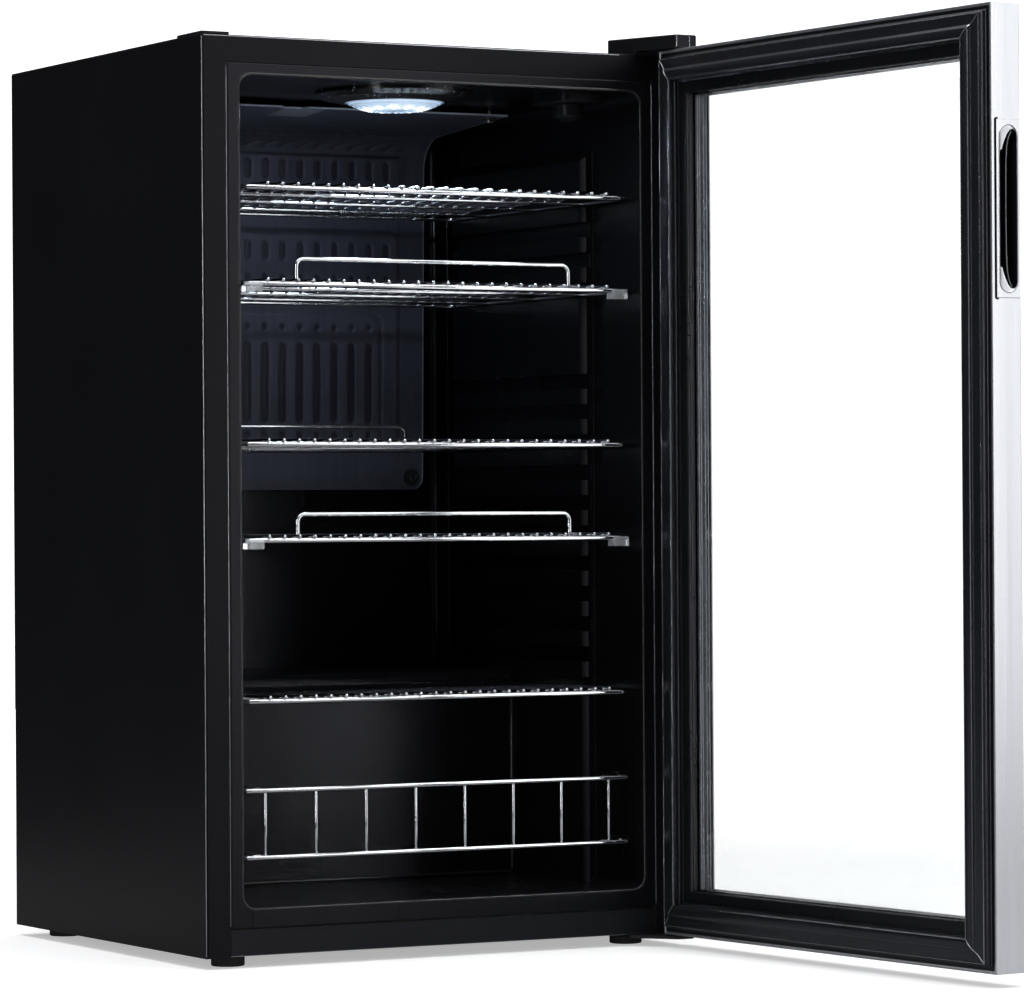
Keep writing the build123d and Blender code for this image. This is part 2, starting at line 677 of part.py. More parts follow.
# ---------------------------------------------------------------- door, drawn shut
def door_ring(outer_inset, inner_inset, y0, y1, corner=0.0):
    """A frame-shaped ring between two insets from the door's edge; depths are measured from its back."""
    height = DOOR_TOP - DOOR_BOTTOM
    plane = Plane(
        origin=(0, DOOR_BACK - y0, (DOOR_TOP + DOOR_BOTTOM) / 2), x_dir=(1, 0, 0), z_dir=(0, -1, 0)
    )
    outer = plane * Rectangle(WIDTH - 2 * outer_inset, height - 2 * outer_inset)
    inner = plane * Rectangle(WIDTH - 2 * inner_inset, height - 2 * inner_inset)
    if corner:
        outer = plane * RectangleRounded(WIDTH - 2 * outer_inset, height - 2 * outer_inset, corner)
    return extrude(outer - inner, amount=y1 - y0)


def door_sheet(inset, y0, y1):
    """A pane between two depths."""
    return block(
        -SIDE + inset, SIDE - inset, DOOR_BACK - y0, DOOR_BACK - y1, DOOR_BOTTOM + inset, DOOR_TOP - inset
    )


BUSH_R = 6.5
bush_bottom = disc(HINGE_X, HINGE_Y, DOOR_BOTTOM, DOOR_BOTTOM + 16, BUSH_R)
bush_top = disc(HINGE_X, HINGE_Y, DOOR_TOP - 16, DOOR_TOP, BUSH_R)
pin_bores = disc(HINGE_X, HINGE_Y, 0, 900, HINGE_BORE_R)

handle_middle = (HANDLE_TOP + HANDLE_BOTTOM) / 2
handle_plane = Plane(
    origin=(-SIDE, DOOR_BACK - HANDLE_FROM_BACK, handle_middle), x_dir=(0, 0, 1), z_dir=(-1, 0, 0)
)


def slot_prism(grow, amount):
    """The handle's long round-ended recess, grown all round, and carried in or out of the door's edge."""
    return extrude(handle_plane * SlotOverall(RECESS_L + 2 * grow, RECESS_W + 2 * grow), amount=amount)


cup_outside = slot_prism(CUP_WALL + 0.1, -HANDLE_DEPTH)

steel = door_ring(0, DOOR_STEEL, 0, DOOR_T)
steel += door_ring(0, DOOR_FRAME_W, DOOR_T - DOOR_STEEL, DOOR_T)
steel += door_ring(0, STEEL_LIP, 0, DOOR_STEEL)


def on_outline(edge):
    """Whether an edge is on the outline of the door's front face."""
    place = edge.center()
    at_side = abs(place.X) > SIDE - 0.1
    at_end = place.Z > DOOR_TOP - 0.1 or place.Z < DOOR_BOTTOM + 0.1
    return abs(place.Y - DOOR_FACE) < 0.05 and (at_side or at_end)


steel = fillet(steel.edges().filter_by(on_outline), 0.9)
steel = steel - bush_bottom - bush_top - cup_outside
keep("door_frame", steel)

liner_ring = door_ring(STEEL_LIP + 0.2, DOOR_LINER_W, 0.4, 2.8)
liner_ring += door_ring(1.1, 4.0, 1.1, DOOR_T - DOOR_STEEL - 0.1)
liner_ring += door_ring(1.1, 6.0, 1.1, 2.8)
liner_ring += door_ring(38.5, DOOR_LINER_W, 0.4, 8.4)
liner_ring += door_ring(24.0, 26.5, 1.0, DOOR_T - DOOR_STEEL - 0.1)
boss_low = block(HINGE_X - 12, SIDE - 3, HINGE_Y - 12, HINGE_Y + 12, DOOR_BOTTOM + 1.1, DOOR_BOTTOM + 22)
boss_high = block(HINGE_X - 12, SIDE - 3, HINGE_Y - 12, HINGE_Y + 12, DOOR_TOP - 22, DOOR_TOP - 1.1)
liner_ring += boss_low + boss_high
liner_ring = liner_ring - bush_bottom - bush_top - cup_outside
keep("door_liner", liner_ring)
keep("door_bushes", bush_bottom - pin_bores, bush_top - pin_bores)

gasket = door_ring(GASKET_OUTER, GASKET_INNER, -GASKET_H + 0.3, 0.4, corner=4.0)
crest = gasket.faces().sort_by(Axis.Y)[-1].edges()
gasket = fillet(crest, 3.0)
keep("door_gasket", gasket)

keep("inner_glass", door_sheet(27.0, 8.5, 12.4))
keep("glass_spacer", door_ring(33.0, 42.0, 12.4, 25.5))
keep("outer_glass", door_sheet(27.0, 25.5, DOOR_T - DOOR_STEEL))

plate = extrude(handle_plane * Rectangle(150.0, 25.6), amount=0.9)
plate = fillet(plate.faces().sort_by(Axis.X)[0].edges(), 0.5)
keep("handle_plate", plate - slot_prism(0, 5))
keep("handle_cup", slot_prism(CUP_WALL, -HANDLE_DEPTH) - slot_prism(0, -HANDLE_DEPTH + 1.6))

DOOR_NODES = [
    "door_frame",
    "door_liner",
    "door_bushes",
    "door_gasket",
    "inner_glass",
    "glass_spacer",
    "outer_glass",
    "handle_plate",
    "handle_cup",
]
hinge_line = Axis((HINGE_X, HINGE_Y, 0), (0, 0, 1))
for name in DOOR_NODES:
    nodes[name] = [piece.rotate(hinge_line, OPEN_ANGLE) for piece in nodes[name]]

# ---------------------------------------------------------------- hinges
BRACKET_T = 2.5
ARM_Z = DOOR_TOP + 1.6
ARM_TOP = ARM_Z + BRACKET_T
ARM_LEFT = 212.0
BRACKET_BACK = -150.0
plate_points = [
    (213, BRACKET_BACK),
    (196, BRACKET_BACK - 28),
    (196, BRACKET_BACK - 36),
    (205, FRONT),
    (SIDE, FRONT),
    (SIDE, BRACKET_BACK),
]
top_bracket = prism(Plane.XY.offset(TOP_Z), plate_points, BRACKET_T)
top_bracket += block(ARM_LEFT, SIDE, FRONT, FRONT + 6, TOP_Z, ARM_TOP)
arm_points = [
    (ARM_LEFT, FRONT + 6),
    (SIDE, FRONT + 6),
    (SIDE, HINGE_Y - 4),
    (SIDE - 4, HINGE_Y - 8),
    (222, HINGE_Y - 8),
    (218, HINGE_Y),
]
top_bracket += prism(Plane.XY.offset(ARM_Z), arm_points, BRACKET_T)
SCREW_PLACES = [(212, -197), (207, -176), (231, -162)]
SCREW_R = 2.5
HEAD_R = 5.0
HEAD_LOW = TOP_Z + BRACKET_T
screws = []
for x, y in SCREW_PLACES:
    top_bracket -= disc(x, y, TOP_Z - 1, TOP_Z + 4, SCREW_R + 0.1)
    screws.append(disc(x, y, TOP_Z + 0.05, HEAD_LOW, SCREW_R) + disc(x, y, HEAD_LOW, HEAD_LOW + 2.9, HEAD_R))
keep("top_hinge_bracket", top_bracket - disc(HINGE_X, HINGE_Y, 800, 860, HINGE_PIN_R))
keep("top_hinge_pin", disc(HINGE_X, HINGE_Y, DOOR_TOP - 14, ARM_TOP, HINGE_PIN_R))
keep("hinge_screws", screws)

COVER_TOP = 839.6
COVER_LOW = TOP_Z + 0.02
COVER_WALL = 2.0
COVER_FRONT = -257.4
COVER_BACK = FRONT + 78


def cover_prism(wall, low, high):
    """The hinge cover's outline from above, drawn in by its wall, between two heights."""
    points = [
        (218 + 0.75 * wall, COVER_BACK - wall),
        (189.5 + 1.15 * wall, FRONT + 30),
        (218 + 0.75 * wall, COVER_FRONT + wall),
        (SIDE - 1 - wall, COVER_FRONT + wall),
        (SIDE - 1 - wall, COVER_BACK - wall),
    ]
    return prism(Plane.XY.offset(low), points, high - low)


cover = cover_prism(0, COVER_LOW, COVER_TOP)
cover = fillet(cover.edges().filter_by(Axis.Z), 3.5)
cover = fillet(cover.faces().sort_by(Axis.Z)[-1].edges(), 1.2)
cover -= cover_prism(COVER_WALL, TOP_Z - 1, COVER_TOP - COVER_WALL)
# room for the door, the bracket's plate and the bracket's arm
cover -= block(170, 260, -300, FRONT - 0.4, 800, DOOR_TOP + 1.0)
cover -= block(225, 260, FRONT - 0.4, FRONT + 40, TOP_Z - 1, HEAD_LOW + 0.1)
cover -= block(225, 260, FRONT + 39, BRACKET_BACK + 0.2, TOP_Z - 1, HEAD_LOW + 0.1)
cover -= block(SIDE - 3.2, 260, HINGE_Y - 9, FRONT + 6.2, TOP_Z, ARM_TOP + 0.1)
keep("top_hinge_cover", cover)

LOW_PLATE_T = 2.6
foot_points = [
    (190, BRACKET_BACK),
    (SIDE - 2, BRACKET_BACK),
    (SIDE - 2, HINGE_Y - 4),
    (SIDE - 6, HINGE_Y - 8),
    (222, HINGE_Y - 8),
    (190, FRONT),
]
low_bracket = prism(Plane.XY.offset(FLOOR_Z - LOW_PLATE_T), foot_points, LOW_PLATE_T)
low_bracket -= disc(HINGE_X, HINGE_Y, 0, 20, HINGE_PIN_R)
low_bracket -= disc(FOOT_X, FRONT_FOOT_Y, 0, 20, 16.0)
keep("bottom_hinge_bracket", low_bracket)
keep("bottom_hinge_pin", disc(HINGE_X, HINGE_Y, FLOOR_Z - LOW_PLATE_T, DOOR_BOTTOM + 14, HINGE_PIN_R))

# ---------------------------------------------------------------- write
for name, pieces in nodes.items():
    shape = pieces[0] if len(pieces) == 1 else Compound(children=list(pieces))
    export_step(shape, f"parts/{name}.step")
print(len(nodes), "nodes written")
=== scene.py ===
import math

import bmesh
import bpy
import numpy as np
from mathutils import Matrix, Vector


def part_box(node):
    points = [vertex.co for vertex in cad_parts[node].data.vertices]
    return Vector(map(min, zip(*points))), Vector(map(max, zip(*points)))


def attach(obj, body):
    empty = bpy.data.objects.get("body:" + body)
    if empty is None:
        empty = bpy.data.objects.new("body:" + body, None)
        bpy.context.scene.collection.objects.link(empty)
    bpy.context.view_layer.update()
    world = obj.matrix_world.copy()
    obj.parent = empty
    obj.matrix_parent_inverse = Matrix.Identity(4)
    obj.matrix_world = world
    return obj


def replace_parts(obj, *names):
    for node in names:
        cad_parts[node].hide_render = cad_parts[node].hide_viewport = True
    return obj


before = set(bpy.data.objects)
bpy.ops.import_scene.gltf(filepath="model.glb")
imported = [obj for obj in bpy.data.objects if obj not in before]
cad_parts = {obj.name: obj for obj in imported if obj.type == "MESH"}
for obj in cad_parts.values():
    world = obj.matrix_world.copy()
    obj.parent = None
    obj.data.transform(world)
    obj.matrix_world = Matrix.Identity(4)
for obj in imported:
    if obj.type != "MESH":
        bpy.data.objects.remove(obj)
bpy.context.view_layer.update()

# A small glass-door drinks fridge. Sizes are in metres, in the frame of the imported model:
# the origin is on the floor under the middle of the cabinet, -Y is the front and +Z is up.
MM = 0.001
SMOOTH_ANGLE = math.radians(34)


# ---------------------------------------------------------------- shapes
def unit(vectors):
    """Each vector divided by its own length."""
    return vectors / np.linalg.norm(vectors, axis=-1, keepdims=True)


def soft_step(value, low, high):
    """0 below low, 1 above high, and 3t^2 - 2t^3 between them."""
    t = np.clip((value - low) / (high - low), 0.0, 1.0)
    return t * t * (3.0 - 2.0 * t)


def stations(start, stop, coarse, fine=None, places=(), reach=0.0):
    """Places along a line: evenly spaced, with closer ones within reach of the given places."""
    line = np.linspace(start, stop, max(2, int(round((stop - start) / coarse)) + 1))
    for place in places:
        near = np.arange(max(start, place - reach), min(stop, place + reach), fine)
        line = np.concatenate([line[(line < place - reach) | (line > place + reach)], near])
    return np.unique(np.round(np.concatenate([line, [start, stop]]), 6))


def rounded_path(corners, bend, closed=False, steps=8):
    """A path through corners, each turned on an arc: centre + r0 cos(a) + bend * incoming * sin(a)."""
    corners = np.asarray(corners, float)
    before = unit(corners - np.roll(corners, 1, axis=0))
    after = unit(np.roll(corners, -1, axis=0) - corners)
    turn = np.arccos(np.clip((before * after).sum(-1), -1.0, 1.0))
    reach = bend * np.tan(turn / 2)
    centre = corners + unit(after - before) * (bend / np.cos(turn / 2))[:, None]
    start = corners - before * reach[:, None]
    angle = turn[:, None] * np.linspace(0.0, 1.0, steps + 1)
    arcs = (
        centre[:, None]
        + (start - centre)[:, None] * np.cos(angle)[..., None]
        + bend * before[:, None] * np.sin(angle)[..., None]
    )
    if closed:
        return arcs.reshape(-1, 3)
    return np.concatenate([corners[:1], arcs[1:-1].reshape(-1, 3), corners[-1:]])


def smooth_loop(points, steps=5):
    """A closed outline through its points, by the Catmull-Rom cubic between each two of them."""
    p = np.asarray(points, float)
    a, b, c, d = np.roll(p, 1, 0), p, np.roll(p, -1, 0), np.roll(p, -2, 0)
    t = (np.arange(steps) / steps)[None, :, None]
    a, b, c, d = a[:, None], b[:, None], c[:, None], d[:, None]
    curve = b + 0.5 * t * (c - a + t * (2 * a - 5 * b + 4 * c - d + t * (3 * (b - c) + d - a)))
    return curve.reshape(-1, 2)


def tube(path, radius, up, closed=False, sides=14):
    """A round wire on a flat path: centre + radius * (up cos a + side sin a), side = along x up."""
    path = np.asarray(path, float)
    if closed:
        along = unit(np.roll(path, -1, axis=0) - np.roll(path, 1, axis=0))
    else:
        along = unit(np.gradient(path, axis=0))
    up = np.asarray(up, float)
    side = np.cross(along, up)
    a = np.linspace(0.0, 2 * np.pi, sides, endpoint=False)[None, :, None]
    radius = np.broadcast_to(radius, len(path))[:, None, None]
    return path[:, None] + radius * (up * np.cos(a) + side[:, None] * np.sin(a))


def straight_wires(starts, ends, radius, up, sides=12, dome=4):
    """Straight wires with domed ends: at the dome angle f, the ring is radius cos f, pushed out by
    radius sin f."""
    starts, ends = np.asarray(starts, float), np.asarray(ends, float)
    along = unit(ends - starts)
    up = np.asarray(up, float)
    side = np.cross(along, up)
    f = np.linspace(0.0, np.pi / 2, dome + 1)
    push = np.concatenate([-np.sin(f[::-1]), np.sin(f)]) * radius
    ring = np.concatenate([np.cos(f[::-1]), np.cos(f)]) * radius
    centre = np.concatenate(
        [np.repeat(starts[:, None], dome + 1, 1), np.repeat(ends[:, None], dome + 1, 1)], axis=1
    )
    centre = centre + along[:, None] * push[None, :, None]
    a = np.linspace(0.0, 2 * np.pi, sides, endpoint=False)
    around = up * np.cos(a)[:, None] + side[:, None] * np.sin(a)[:, None]
    return centre[:, :, None] + ring[None, :, None, None] * around[:, None]


class Piece:
    """Grids of points that become one mesh, joined by quads along both directions of each grid."""

    def __init__(self, name):
        self.name = name
        self.points = []
        self.faces = []
        self.shades = []
        self.count = 0

    def add(self, grid, around_rows=False, around_columns=False, shade=None):
        """Adds one grid, rows x columns x 3. It can close on itself either way, and carry a shade."""
        rows, columns = grid.shape[:2]
        i = np.arange(rows if around_rows else rows - 1)[:, None]
        j = np.arange(columns if around_columns else columns - 1)[None, :]
        i2, j2 = (i + 1) % rows, (j + 1) % columns
        quads = np.stack([i * columns + j, i * columns + j2, i2 * columns + j2, i2 * columns + j], -1)
        quads = quads.reshape(-1, 4) + self.count
        self.faces.append(quads)
        self.points.append(grid.reshape(-1, 3))
        self.shades.append(np.zeros(rows * columns) if shade is None else shade.ravel())
        self.count += rows * columns
        return self

    def make(self, look, body, slot, sharp=SMOOTH_ANGLE, weld=1e-7):
        """Writes the mesh, welds its poles and seams, and hangs it on a body."""
        mesh = bpy.data.meshes.new(self.name)
        points, faces = np.concatenate(self.points), np.concatenate(self.faces)
        mesh.vertices.add(len(points))
        mesh.vertices.foreach_set("co", points.ravel())
        mesh.loops.add(faces.size)
        mesh.loops.foreach_set("vertex_index", faces.ravel())
        mesh.polygons.add(len(faces))
        mesh.polygons.foreach_set("loop_start", np.arange(0, faces.size, 4))
        mesh.update(calc_edges=True)
        shade = mesh.attributes.new("shade", "FLOAT", "POINT")
        shade.data.foreach_set("value", np.concatenate(self.shades))
        cleaner = bmesh_from(mesh)
        bmesh.ops.remove_doubles(cleaner, verts=cleaner.verts, dist=weld)
        bmesh.ops.recalc_face_normals(cleaner, faces=cleaner.faces)
        cleaner.to_mesh(mesh)
        cleaner.free()
        mesh.shade_smooth()
        mesh.set_sharp_from_angle(angle=sharp)
        mesh.materials.append(look)
        piece = bpy.data.objects.new(self.name, mesh)
        bpy.context.scene.collection.objects.link(piece)
        if body:
            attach(piece, body)
        return piece


def bmesh_from(mesh):
    """The mesh in an editable form."""
    editable = bmesh.new()
    editable.from_mesh(mesh)
    return editable


# ---------------------------------------------------------------- shader building
def node(tree, kind, sockets=None, **settings):
    """Adds a node with its settings, and gives each named input a value or a link."""
    made = tree.nodes.new(kind)
    for key, value in settings.items():
        setattr(made, key, value)
    for key, value in (sockets or {}).items():
        if isinstance(value, bpy.types.NodeSocket):
            tree.links.new(value, made.inputs[key])
        else:
            made.inputs[key].default_value = value
    return made


def math_node(tree, operation, a, b=0.0, clamp=False):
    """One arithmetic step."""
    return node(tree, "ShaderNodeMath", {0: a, 1: b}, operation=operation, use_clamp=clamp).outputs[0]


def mixture(tree, a, share, b):
    """A share of a, and the rest of b."""
    return math_node(
        tree, "ADD", math_node(tree, "MULTIPLY", a, share), math_node(tree, "MULTIPLY", b, 1.0 - share)
    )


def map_range(tree, value, from_low, from_high, low=0.0, high=1.0, **settings):
    """The value carried from one range to another, held at both ends."""
    sockets = {"Value": value, "From Min": from_low, "From Max": from_high, "To Min": low, "To Max": high}
    return node(tree, "ShaderNodeMapRange", sockets, **settings).outputs[0]


def blend_colour(tree, factor, a, b):
    """Colour a where factor is 0, and b where it is 1."""
    return node(tree, "ShaderNodeMix", {0: factor, 6: a, 7: b}, data_type="RGBA").outputs[2]


def spread(tree, factor, low, high):
    """low where factor is 0, and high where it is 1."""
    return map_range(tree, factor, 0.0, 1.0, low, high)


def start_group(name, inputs, outputs):
    """A node group with named sockets. Returns its tree, its inputs and the node that takes its results."""
    tree = bpy.data.node_groups.new(name, "ShaderNodeTree")
    kinds = {"float": "NodeSocketFloat", "colour": "NodeSocketColor", "vector": "NodeSocketVector"}
    for socket_name, kind, default in inputs:
        socket = tree.interface.new_socket(name=socket_name, in_out="INPUT", socket_type=kinds[kind])
        if default is not None:
            socket.default_value = default
    for socket_name, kind in outputs:
        tree.interface.new_socket(name=socket_name, in_out="OUTPUT", socket_type=kinds[kind])
    entry = tree.nodes.new("NodeGroupInput")
    result = tree.nodes.new("NodeGroupOutput")
    return tree, entry.outputs, result.inputs


def object_place(tree):
    """Where a point is in its object's own frame."""
    return node(tree, "ShaderNodeTexCoord").outputs["Object"]


def vector_node(tree, operation, a, b=(0.0, 0.0, 0.0)):
    """One step with vectors: its result, and its result as one value."""
    made = node(tree, "ShaderNodeVectorMath", {0: a, 1: b}, operation=operation)
    return made.outputs[0], made.outputs[1]


def noise(tree, place, scale, detail=3.0, roughness=0.55):
    """Soft noise from 0 to 1."""
    sockets = {"Vector": place, "Scale": scale, "Detail": detail, "Roughness": roughness}
    return node(tree, "ShaderNodeTexNoise", sockets).outputs["Fac"]


def bump(tree, height, distance, normal=None, strength=1.0):
    """A normal that follows a height."""
    sockets = {"Height": height, "Distance": distance, "Strength": strength}
    if normal is not None:
        sockets["Normal"] = normal
    return node(tree, "ShaderNodeBump", sockets).outputs[0]


def tone_group():
    """Slow cloudy change of colour and of roughness over a surface."""
    tree, ins, outs = start_group(
        "cloudy_tone",
        [
            ("Size", "float", 12.0),
            ("Dark", "colour", (0.1, 0.1, 0.1, 1)),
            ("Light", "colour", (0.2, 0.2, 0.2, 1)),
            ("Smooth", "float", 0.3),
            ("Rough", "float", 0.5),
        ],
        [("Colour", "colour"), ("Roughness", "float")],
    )
    place = object_place(tree)
    cloud = spread(tree, noise(tree, place, ins["Size"], 4.0), -0.6, 1.6)
    fine = noise(tree, place, math_node(tree, "MULTIPLY", ins["Size"], 17.0), 2.0)
    factor = math_node(tree, "MULTIPLY", mixture(tree, cloud, 0.7, fine), 1.0, clamp=True)
    tree.links.new(blend_colour(tree, factor, ins["Dark"], ins["Light"]), outs["Colour"])
    tree.links.new(spread(tree, factor, ins["Smooth"], ins["Rough"]), outs["Roughness"])
    return tree


def grain_group():
    """Moulded or sprayed grain over edges that are slightly rounded."""
    tree, ins, outs = start_group(
        "surface_grain",
        [
            ("Grain Scale", "float", 900.0),
            ("Grain Depth", "float", 0.00003),
            ("Edge Radius", "float", 0.0006),
        ],
        [("Normal", "vector")],
    )
    rounded = node(tree, "ShaderNodeBevel", {"Radius": ins["Edge Radius"]}, samples=4).outputs[0]
    height = noise(tree, object_place(tree), ins["Grain Scale"], 2.0)
    tree.links.new(bump(tree, height, ins["Grain Depth"], rounded), outs["Normal"])
    return tree


def wave_group():
    """The slow waviness of a thin wall that was formed warm, with a faint grain on it."""
    tree, ins, outs = start_group(
        "formed_wall",
        [
            ("Wave Scale", "float", 18.0),
            ("Wave Depth", "float", 0.0004),
            ("Grain Scale", "float", 900.0),
            ("Grain Depth", "float", 0.00002),
            ("Edge Radius", "float", 0.001),
        ],
        [("Normal", "vector")],
    )
    rounded = node(tree, "ShaderNodeBevel", {"Radius": ins["Edge Radius"]}, samples=4).outputs[0]
    place = object_place(tree)
    wavy = bump(tree, noise(tree, place, ins["Wave Scale"], 1.0), ins["Wave Depth"], rounded)
    grainy = bump(tree, noise(tree, place, ins["Grain Scale"], 2.0), ins["Grain Depth"], wavy)
    tree.links.new(grainy, outs["Normal"])
    return tree


def brush_group():
    """Long fine scratches that run along one direction, as a belt leaves them."""
    tree, ins, outs = start_group(
        "brushed_lines",
        [
            ("Stretch", "vector", (900.0, 900.0, 6.0)),
            ("Dark", "colour", (0.5, 0.5, 0.5, 1)),
            ("Light", "colour", (0.7, 0.7, 0.7, 1)),
            ("Smooth", "float", 0.2),
            ("Rough", "float", 0.4),
            ("Depth", "float", 0.00002),
        ],
        [("Colour", "colour"), ("Roughness", "float"), ("Normal", "vector")],
    )
    stretched, _ = vector_node(tree, "MULTIPLY", object_place(tree), ins["Stretch"])
    lines = noise(tree, stretched, 1.0, 3.0, 0.7)
    wide = noise(tree, stretched, 0.09, 2.0, 0.6)
    sharper = map_range(tree, mixture(tree, lines, 0.65, wide), 0.32, 0.68)
    tree.links.new(blend_colour(tree, sharper, ins["Dark"], ins["Light"]), outs["Colour"])
    tree.links.new(spread(tree, sharper, ins["Smooth"], ins["Rough"]), outs["Roughness"])
    tree.links.new(bump(tree, lines, ins["Depth"]), outs["Normal"])
    return tree


def wear_group():
    """Where an edge is handled: high on convex edges, broken up by noise."""
    tree, ins, outs = start_group(
        "handled_edges",
        [("Radius", "float", 0.002), ("Amount", "float", 1.0), ("Patch Scale", "float", 60.0)],
        [("Mask", "float")],
    )
    rounded = node(tree, "ShaderNodeBevel", {"Radius": ins["Radius"]}, samples=4).outputs[0]
    true_normal = node(tree, "ShaderNodeNewGeometry").outputs["Normal"]
    _, same = vector_node(tree, "DOT_PRODUCT", rounded, true_normal)
    bent = math_node(tree, "MULTIPLY", math_node(tree, "SUBTRACT", 1.0, same), 4.0, clamp=True)
    patches = noise(tree, object_place(tree), ins["Patch Scale"], 4.0)
    broken = math_node(tree, "MULTIPLY", bent, spread(tree, patches, -0.4, 1.5), clamp=True)
    tree.links.new(math_node(tree, "MULTIPLY", broken, ins["Amount"], clamp=True), outs["Mask"])
    return tree


def dust_group():
    """A thin settled film, on what faces up."""
    tree, ins, outs = start_group(
        "settled_dust", [("Amount", "float", 0.2), ("Speck Scale", "float", 300.0)], [("Mask", "float")]
    )
    normal = node(tree, "ShaderNodeNewGeometry").outputs["Normal"]
    upward = node(tree, "ShaderNodeSeparateXYZ", {0: normal}).outputs["Z"]
    flat = map_range(tree, upward, 0.6, 1.0)
    specks = noise(tree, object_place(tree), ins["Speck Scale"], 5.0)
    film = math_node(tree, "MULTIPLY", flat, spread(tree, specks, -0.3, 1.3), clamp=True)
    tree.links.new(math_node(tree, "MULTIPLY", film, ins["Amount"]), outs["Mask"])
    return tree


def lamp_group(lamp_count):
    """Bright points on a ring round the middle of the ceiling light: exp(-(distance / spread)^2)."""
    tree, ins, outs = start_group(
        "lamp_points",
        [
            ("Centre", "vector", (0.0, 0.0, 0.0)),
            ("Ring Radius", "float", 0.029),
            ("Spread", "float", 0.004),
            ("Ring Wave", "float", 1700.0),
            ("Gap", "colour", (0.02, 0.03, 0.05, 1)),
            ("Glow", "colour", (0.3, 0.4, 0.5, 1)),
            ("Hot", "colour", (1.0, 1.0, 1.0, 1)),
        ],
        [("Colour", "colour")],
    )
    offset, _ = vector_node(tree, "SUBTRACT", object_place(tree), ins["Centre"])
    parts = node(tree, "ShaderNodeSeparateXYZ", {0: offset}).outputs
    flat = node(tree, "ShaderNodeCombineXYZ", {"X": parts["X"], "Y": parts["Y"], "Z": 0.0}).outputs[0]
    _, radius = vector_node(tree, "LENGTH", flat)
    turn = math_node(tree, "ARCTAN2", parts["Y"], parts["X"])
    pitch = 2 * math.pi / lamp_count
    folded = math_node(tree, "PINGPONG", math_node(tree, "ADD", turn, 2 * math.pi), pitch / 2)
    round_ring = math_node(tree, "MULTIPLY", folded, radius)
    outward = math_node(tree, "SUBTRACT", radius, ins["Ring Radius"])
    square = math_node(
        tree, "ADD", math_node(tree, "POWER", round_ring, 2.0), math_node(tree, "MULTIPLY", outward, outward)
    )
    share = math_node(tree, "DIVIDE", square, math_node(tree, "MULTIPLY", ins["Spread"], ins["Spread"]))
    fall = math_node(tree, "EXPONENT", math_node(tree, "MULTIPLY", share, -1.0))
    wave = math_node(tree, "COSINE", math_node(tree, "MULTIPLY", radius, ins["Ring Wave"]))
    ringed = blend_colour(tree, spread(tree, wave, 0.15, 1.0), ins["Gap"], ins["Glow"])
    tree.links.new(blend_colour(tree, fall, ringed, ins["Hot"]), outs["Colour"])
    return tree


LAMP_COUNT = 12
COOL = (0.86, 0.85, 1.0, 1.0)
BLACK = (0.0, 0.0, 0.0, 1.0)
LINER_FLOOR_TOP = 0.0545
FLOOR_GROOVE_PITCH, FLOOR_GROOVE_HALF = 0.073, 0.0011
RIB_BEVEL_BACK, RIB_BEVEL_DEPTH = -0.119, 0.005
RIB_BEVEL_INNER, RIB_BEVEL_OUTER = 0.1932, 0.1988
GROUPS = {
    "tone": tone_group(),
    "grain": grain_group(),
    "wall": wave_group(),
    "brush": brush_group(),
    "wear": wear_group(),
    "dust": dust_group(),
    "lamps": lamp_group(LAMP_COUNT),
}


def use_group(tree, name, **values):
    """Places a group with its own values, and returns its outputs."""
    made = tree.nodes.new("ShaderNodeGroup")
    made.node_tree = GROUPS[name]
    for key, value in values.items():
        socket = made.inputs[key.replace("_", " ").title()]
        if isinstance(value, bpy.types.NodeSocket):
            tree.links.new(value, socket)
        else:
            socket.default_value = value
    return made.outputs


def grey(level, blue=0.0, alpha=1.0):
    """A near-neutral colour, a little bluer where blue is above 0."""
    return (level * (1 - blue), level * (1 - blue * 0.4), level * (1 + blue), alpha)


def start_look(name, **fixed):
    """A material with one Principled shader. The fixed values go on the shader's own sockets."""
    look = bpy.data.materials.new(name)
    look.use_nodes = True
    shader = look.node_tree.nodes["Principled BSDF"]
    for key, value in fixed.items():
        shader.inputs[key.replace("_", " ")].default_value = value
    return look, look.node_tree, shader.inputs


def join(tree, shader, **links):
    """Links outputs to the shader's sockets by name."""
    for key, value in links.items():
        tree.links.new(value, shader[key.replace("_", " ")])


def painted(name, dark, light, smooth, rough, grain_scale, grain_depth, dust, size=6.0, edge=0.0008, **fixed):
    """Paint or moulded plastic: cloudy tone, fine grain, rounded edges, edges lightened as part wear and part
    painted highlight, and a film of dust.
    """
    look, tree, shader = start_look(name, **fixed)
    tone = use_group(tree, "tone", size=size, dark=dark, light=light, smooth=smooth, rough=rough)
    grain = use_group(tree, "grain", grain_scale=grain_scale, grain_depth=grain_depth, edge_radius=edge)
    film = use_group(tree, "dust", amount=dust)["Mask"]
    edge_mask = use_group(tree, "wear", radius=edge * 2.5, amount=0.35)["Mask"]
    # Edges are lightened in colour, partly as rubbed paint and partly as a painted highlight on the bend.
    edge_wear_and_highlight = tuple(min(1.0, c * 2.2 + 0.004) for c in light[:3]) + (1.0,)
    colour = blend_colour(tree, edge_mask, tone["Colour"], edge_wear_and_highlight)
    colour = blend_colour(tree, film, colour, (0.32, 0.31, 0.3, 1.0))
    roughness = spread(tree, film, 0.0, 0.5)
    join(
        tree,
        shader,
        Base_Color=colour,
        Roughness=math_node(tree, "ADD", tone["Roughness"], roughness),
        Normal=grain["Normal"],
    )
    return look


def plain_metal(name, dark, light, smooth, rough, size, grain_scale, grain_depth, edge=0.0004, **fixed):
    """Metal with a cloudy tone, a faint texture and rounded edges."""
    look, tree, shader = start_look(name, Metallic=1.0, **fixed)
    tone = use_group(tree, "tone", size=size, dark=dark, light=light, smooth=smooth, rough=rough)
    grain = use_group(tree, "grain", grain_scale=grain_scale, grain_depth=grain_depth, edge_radius=edge)
    join(tree, shader, Base_Color=tone["Colour"], Roughness=tone["Roughness"], Normal=grain["Normal"])
    return look


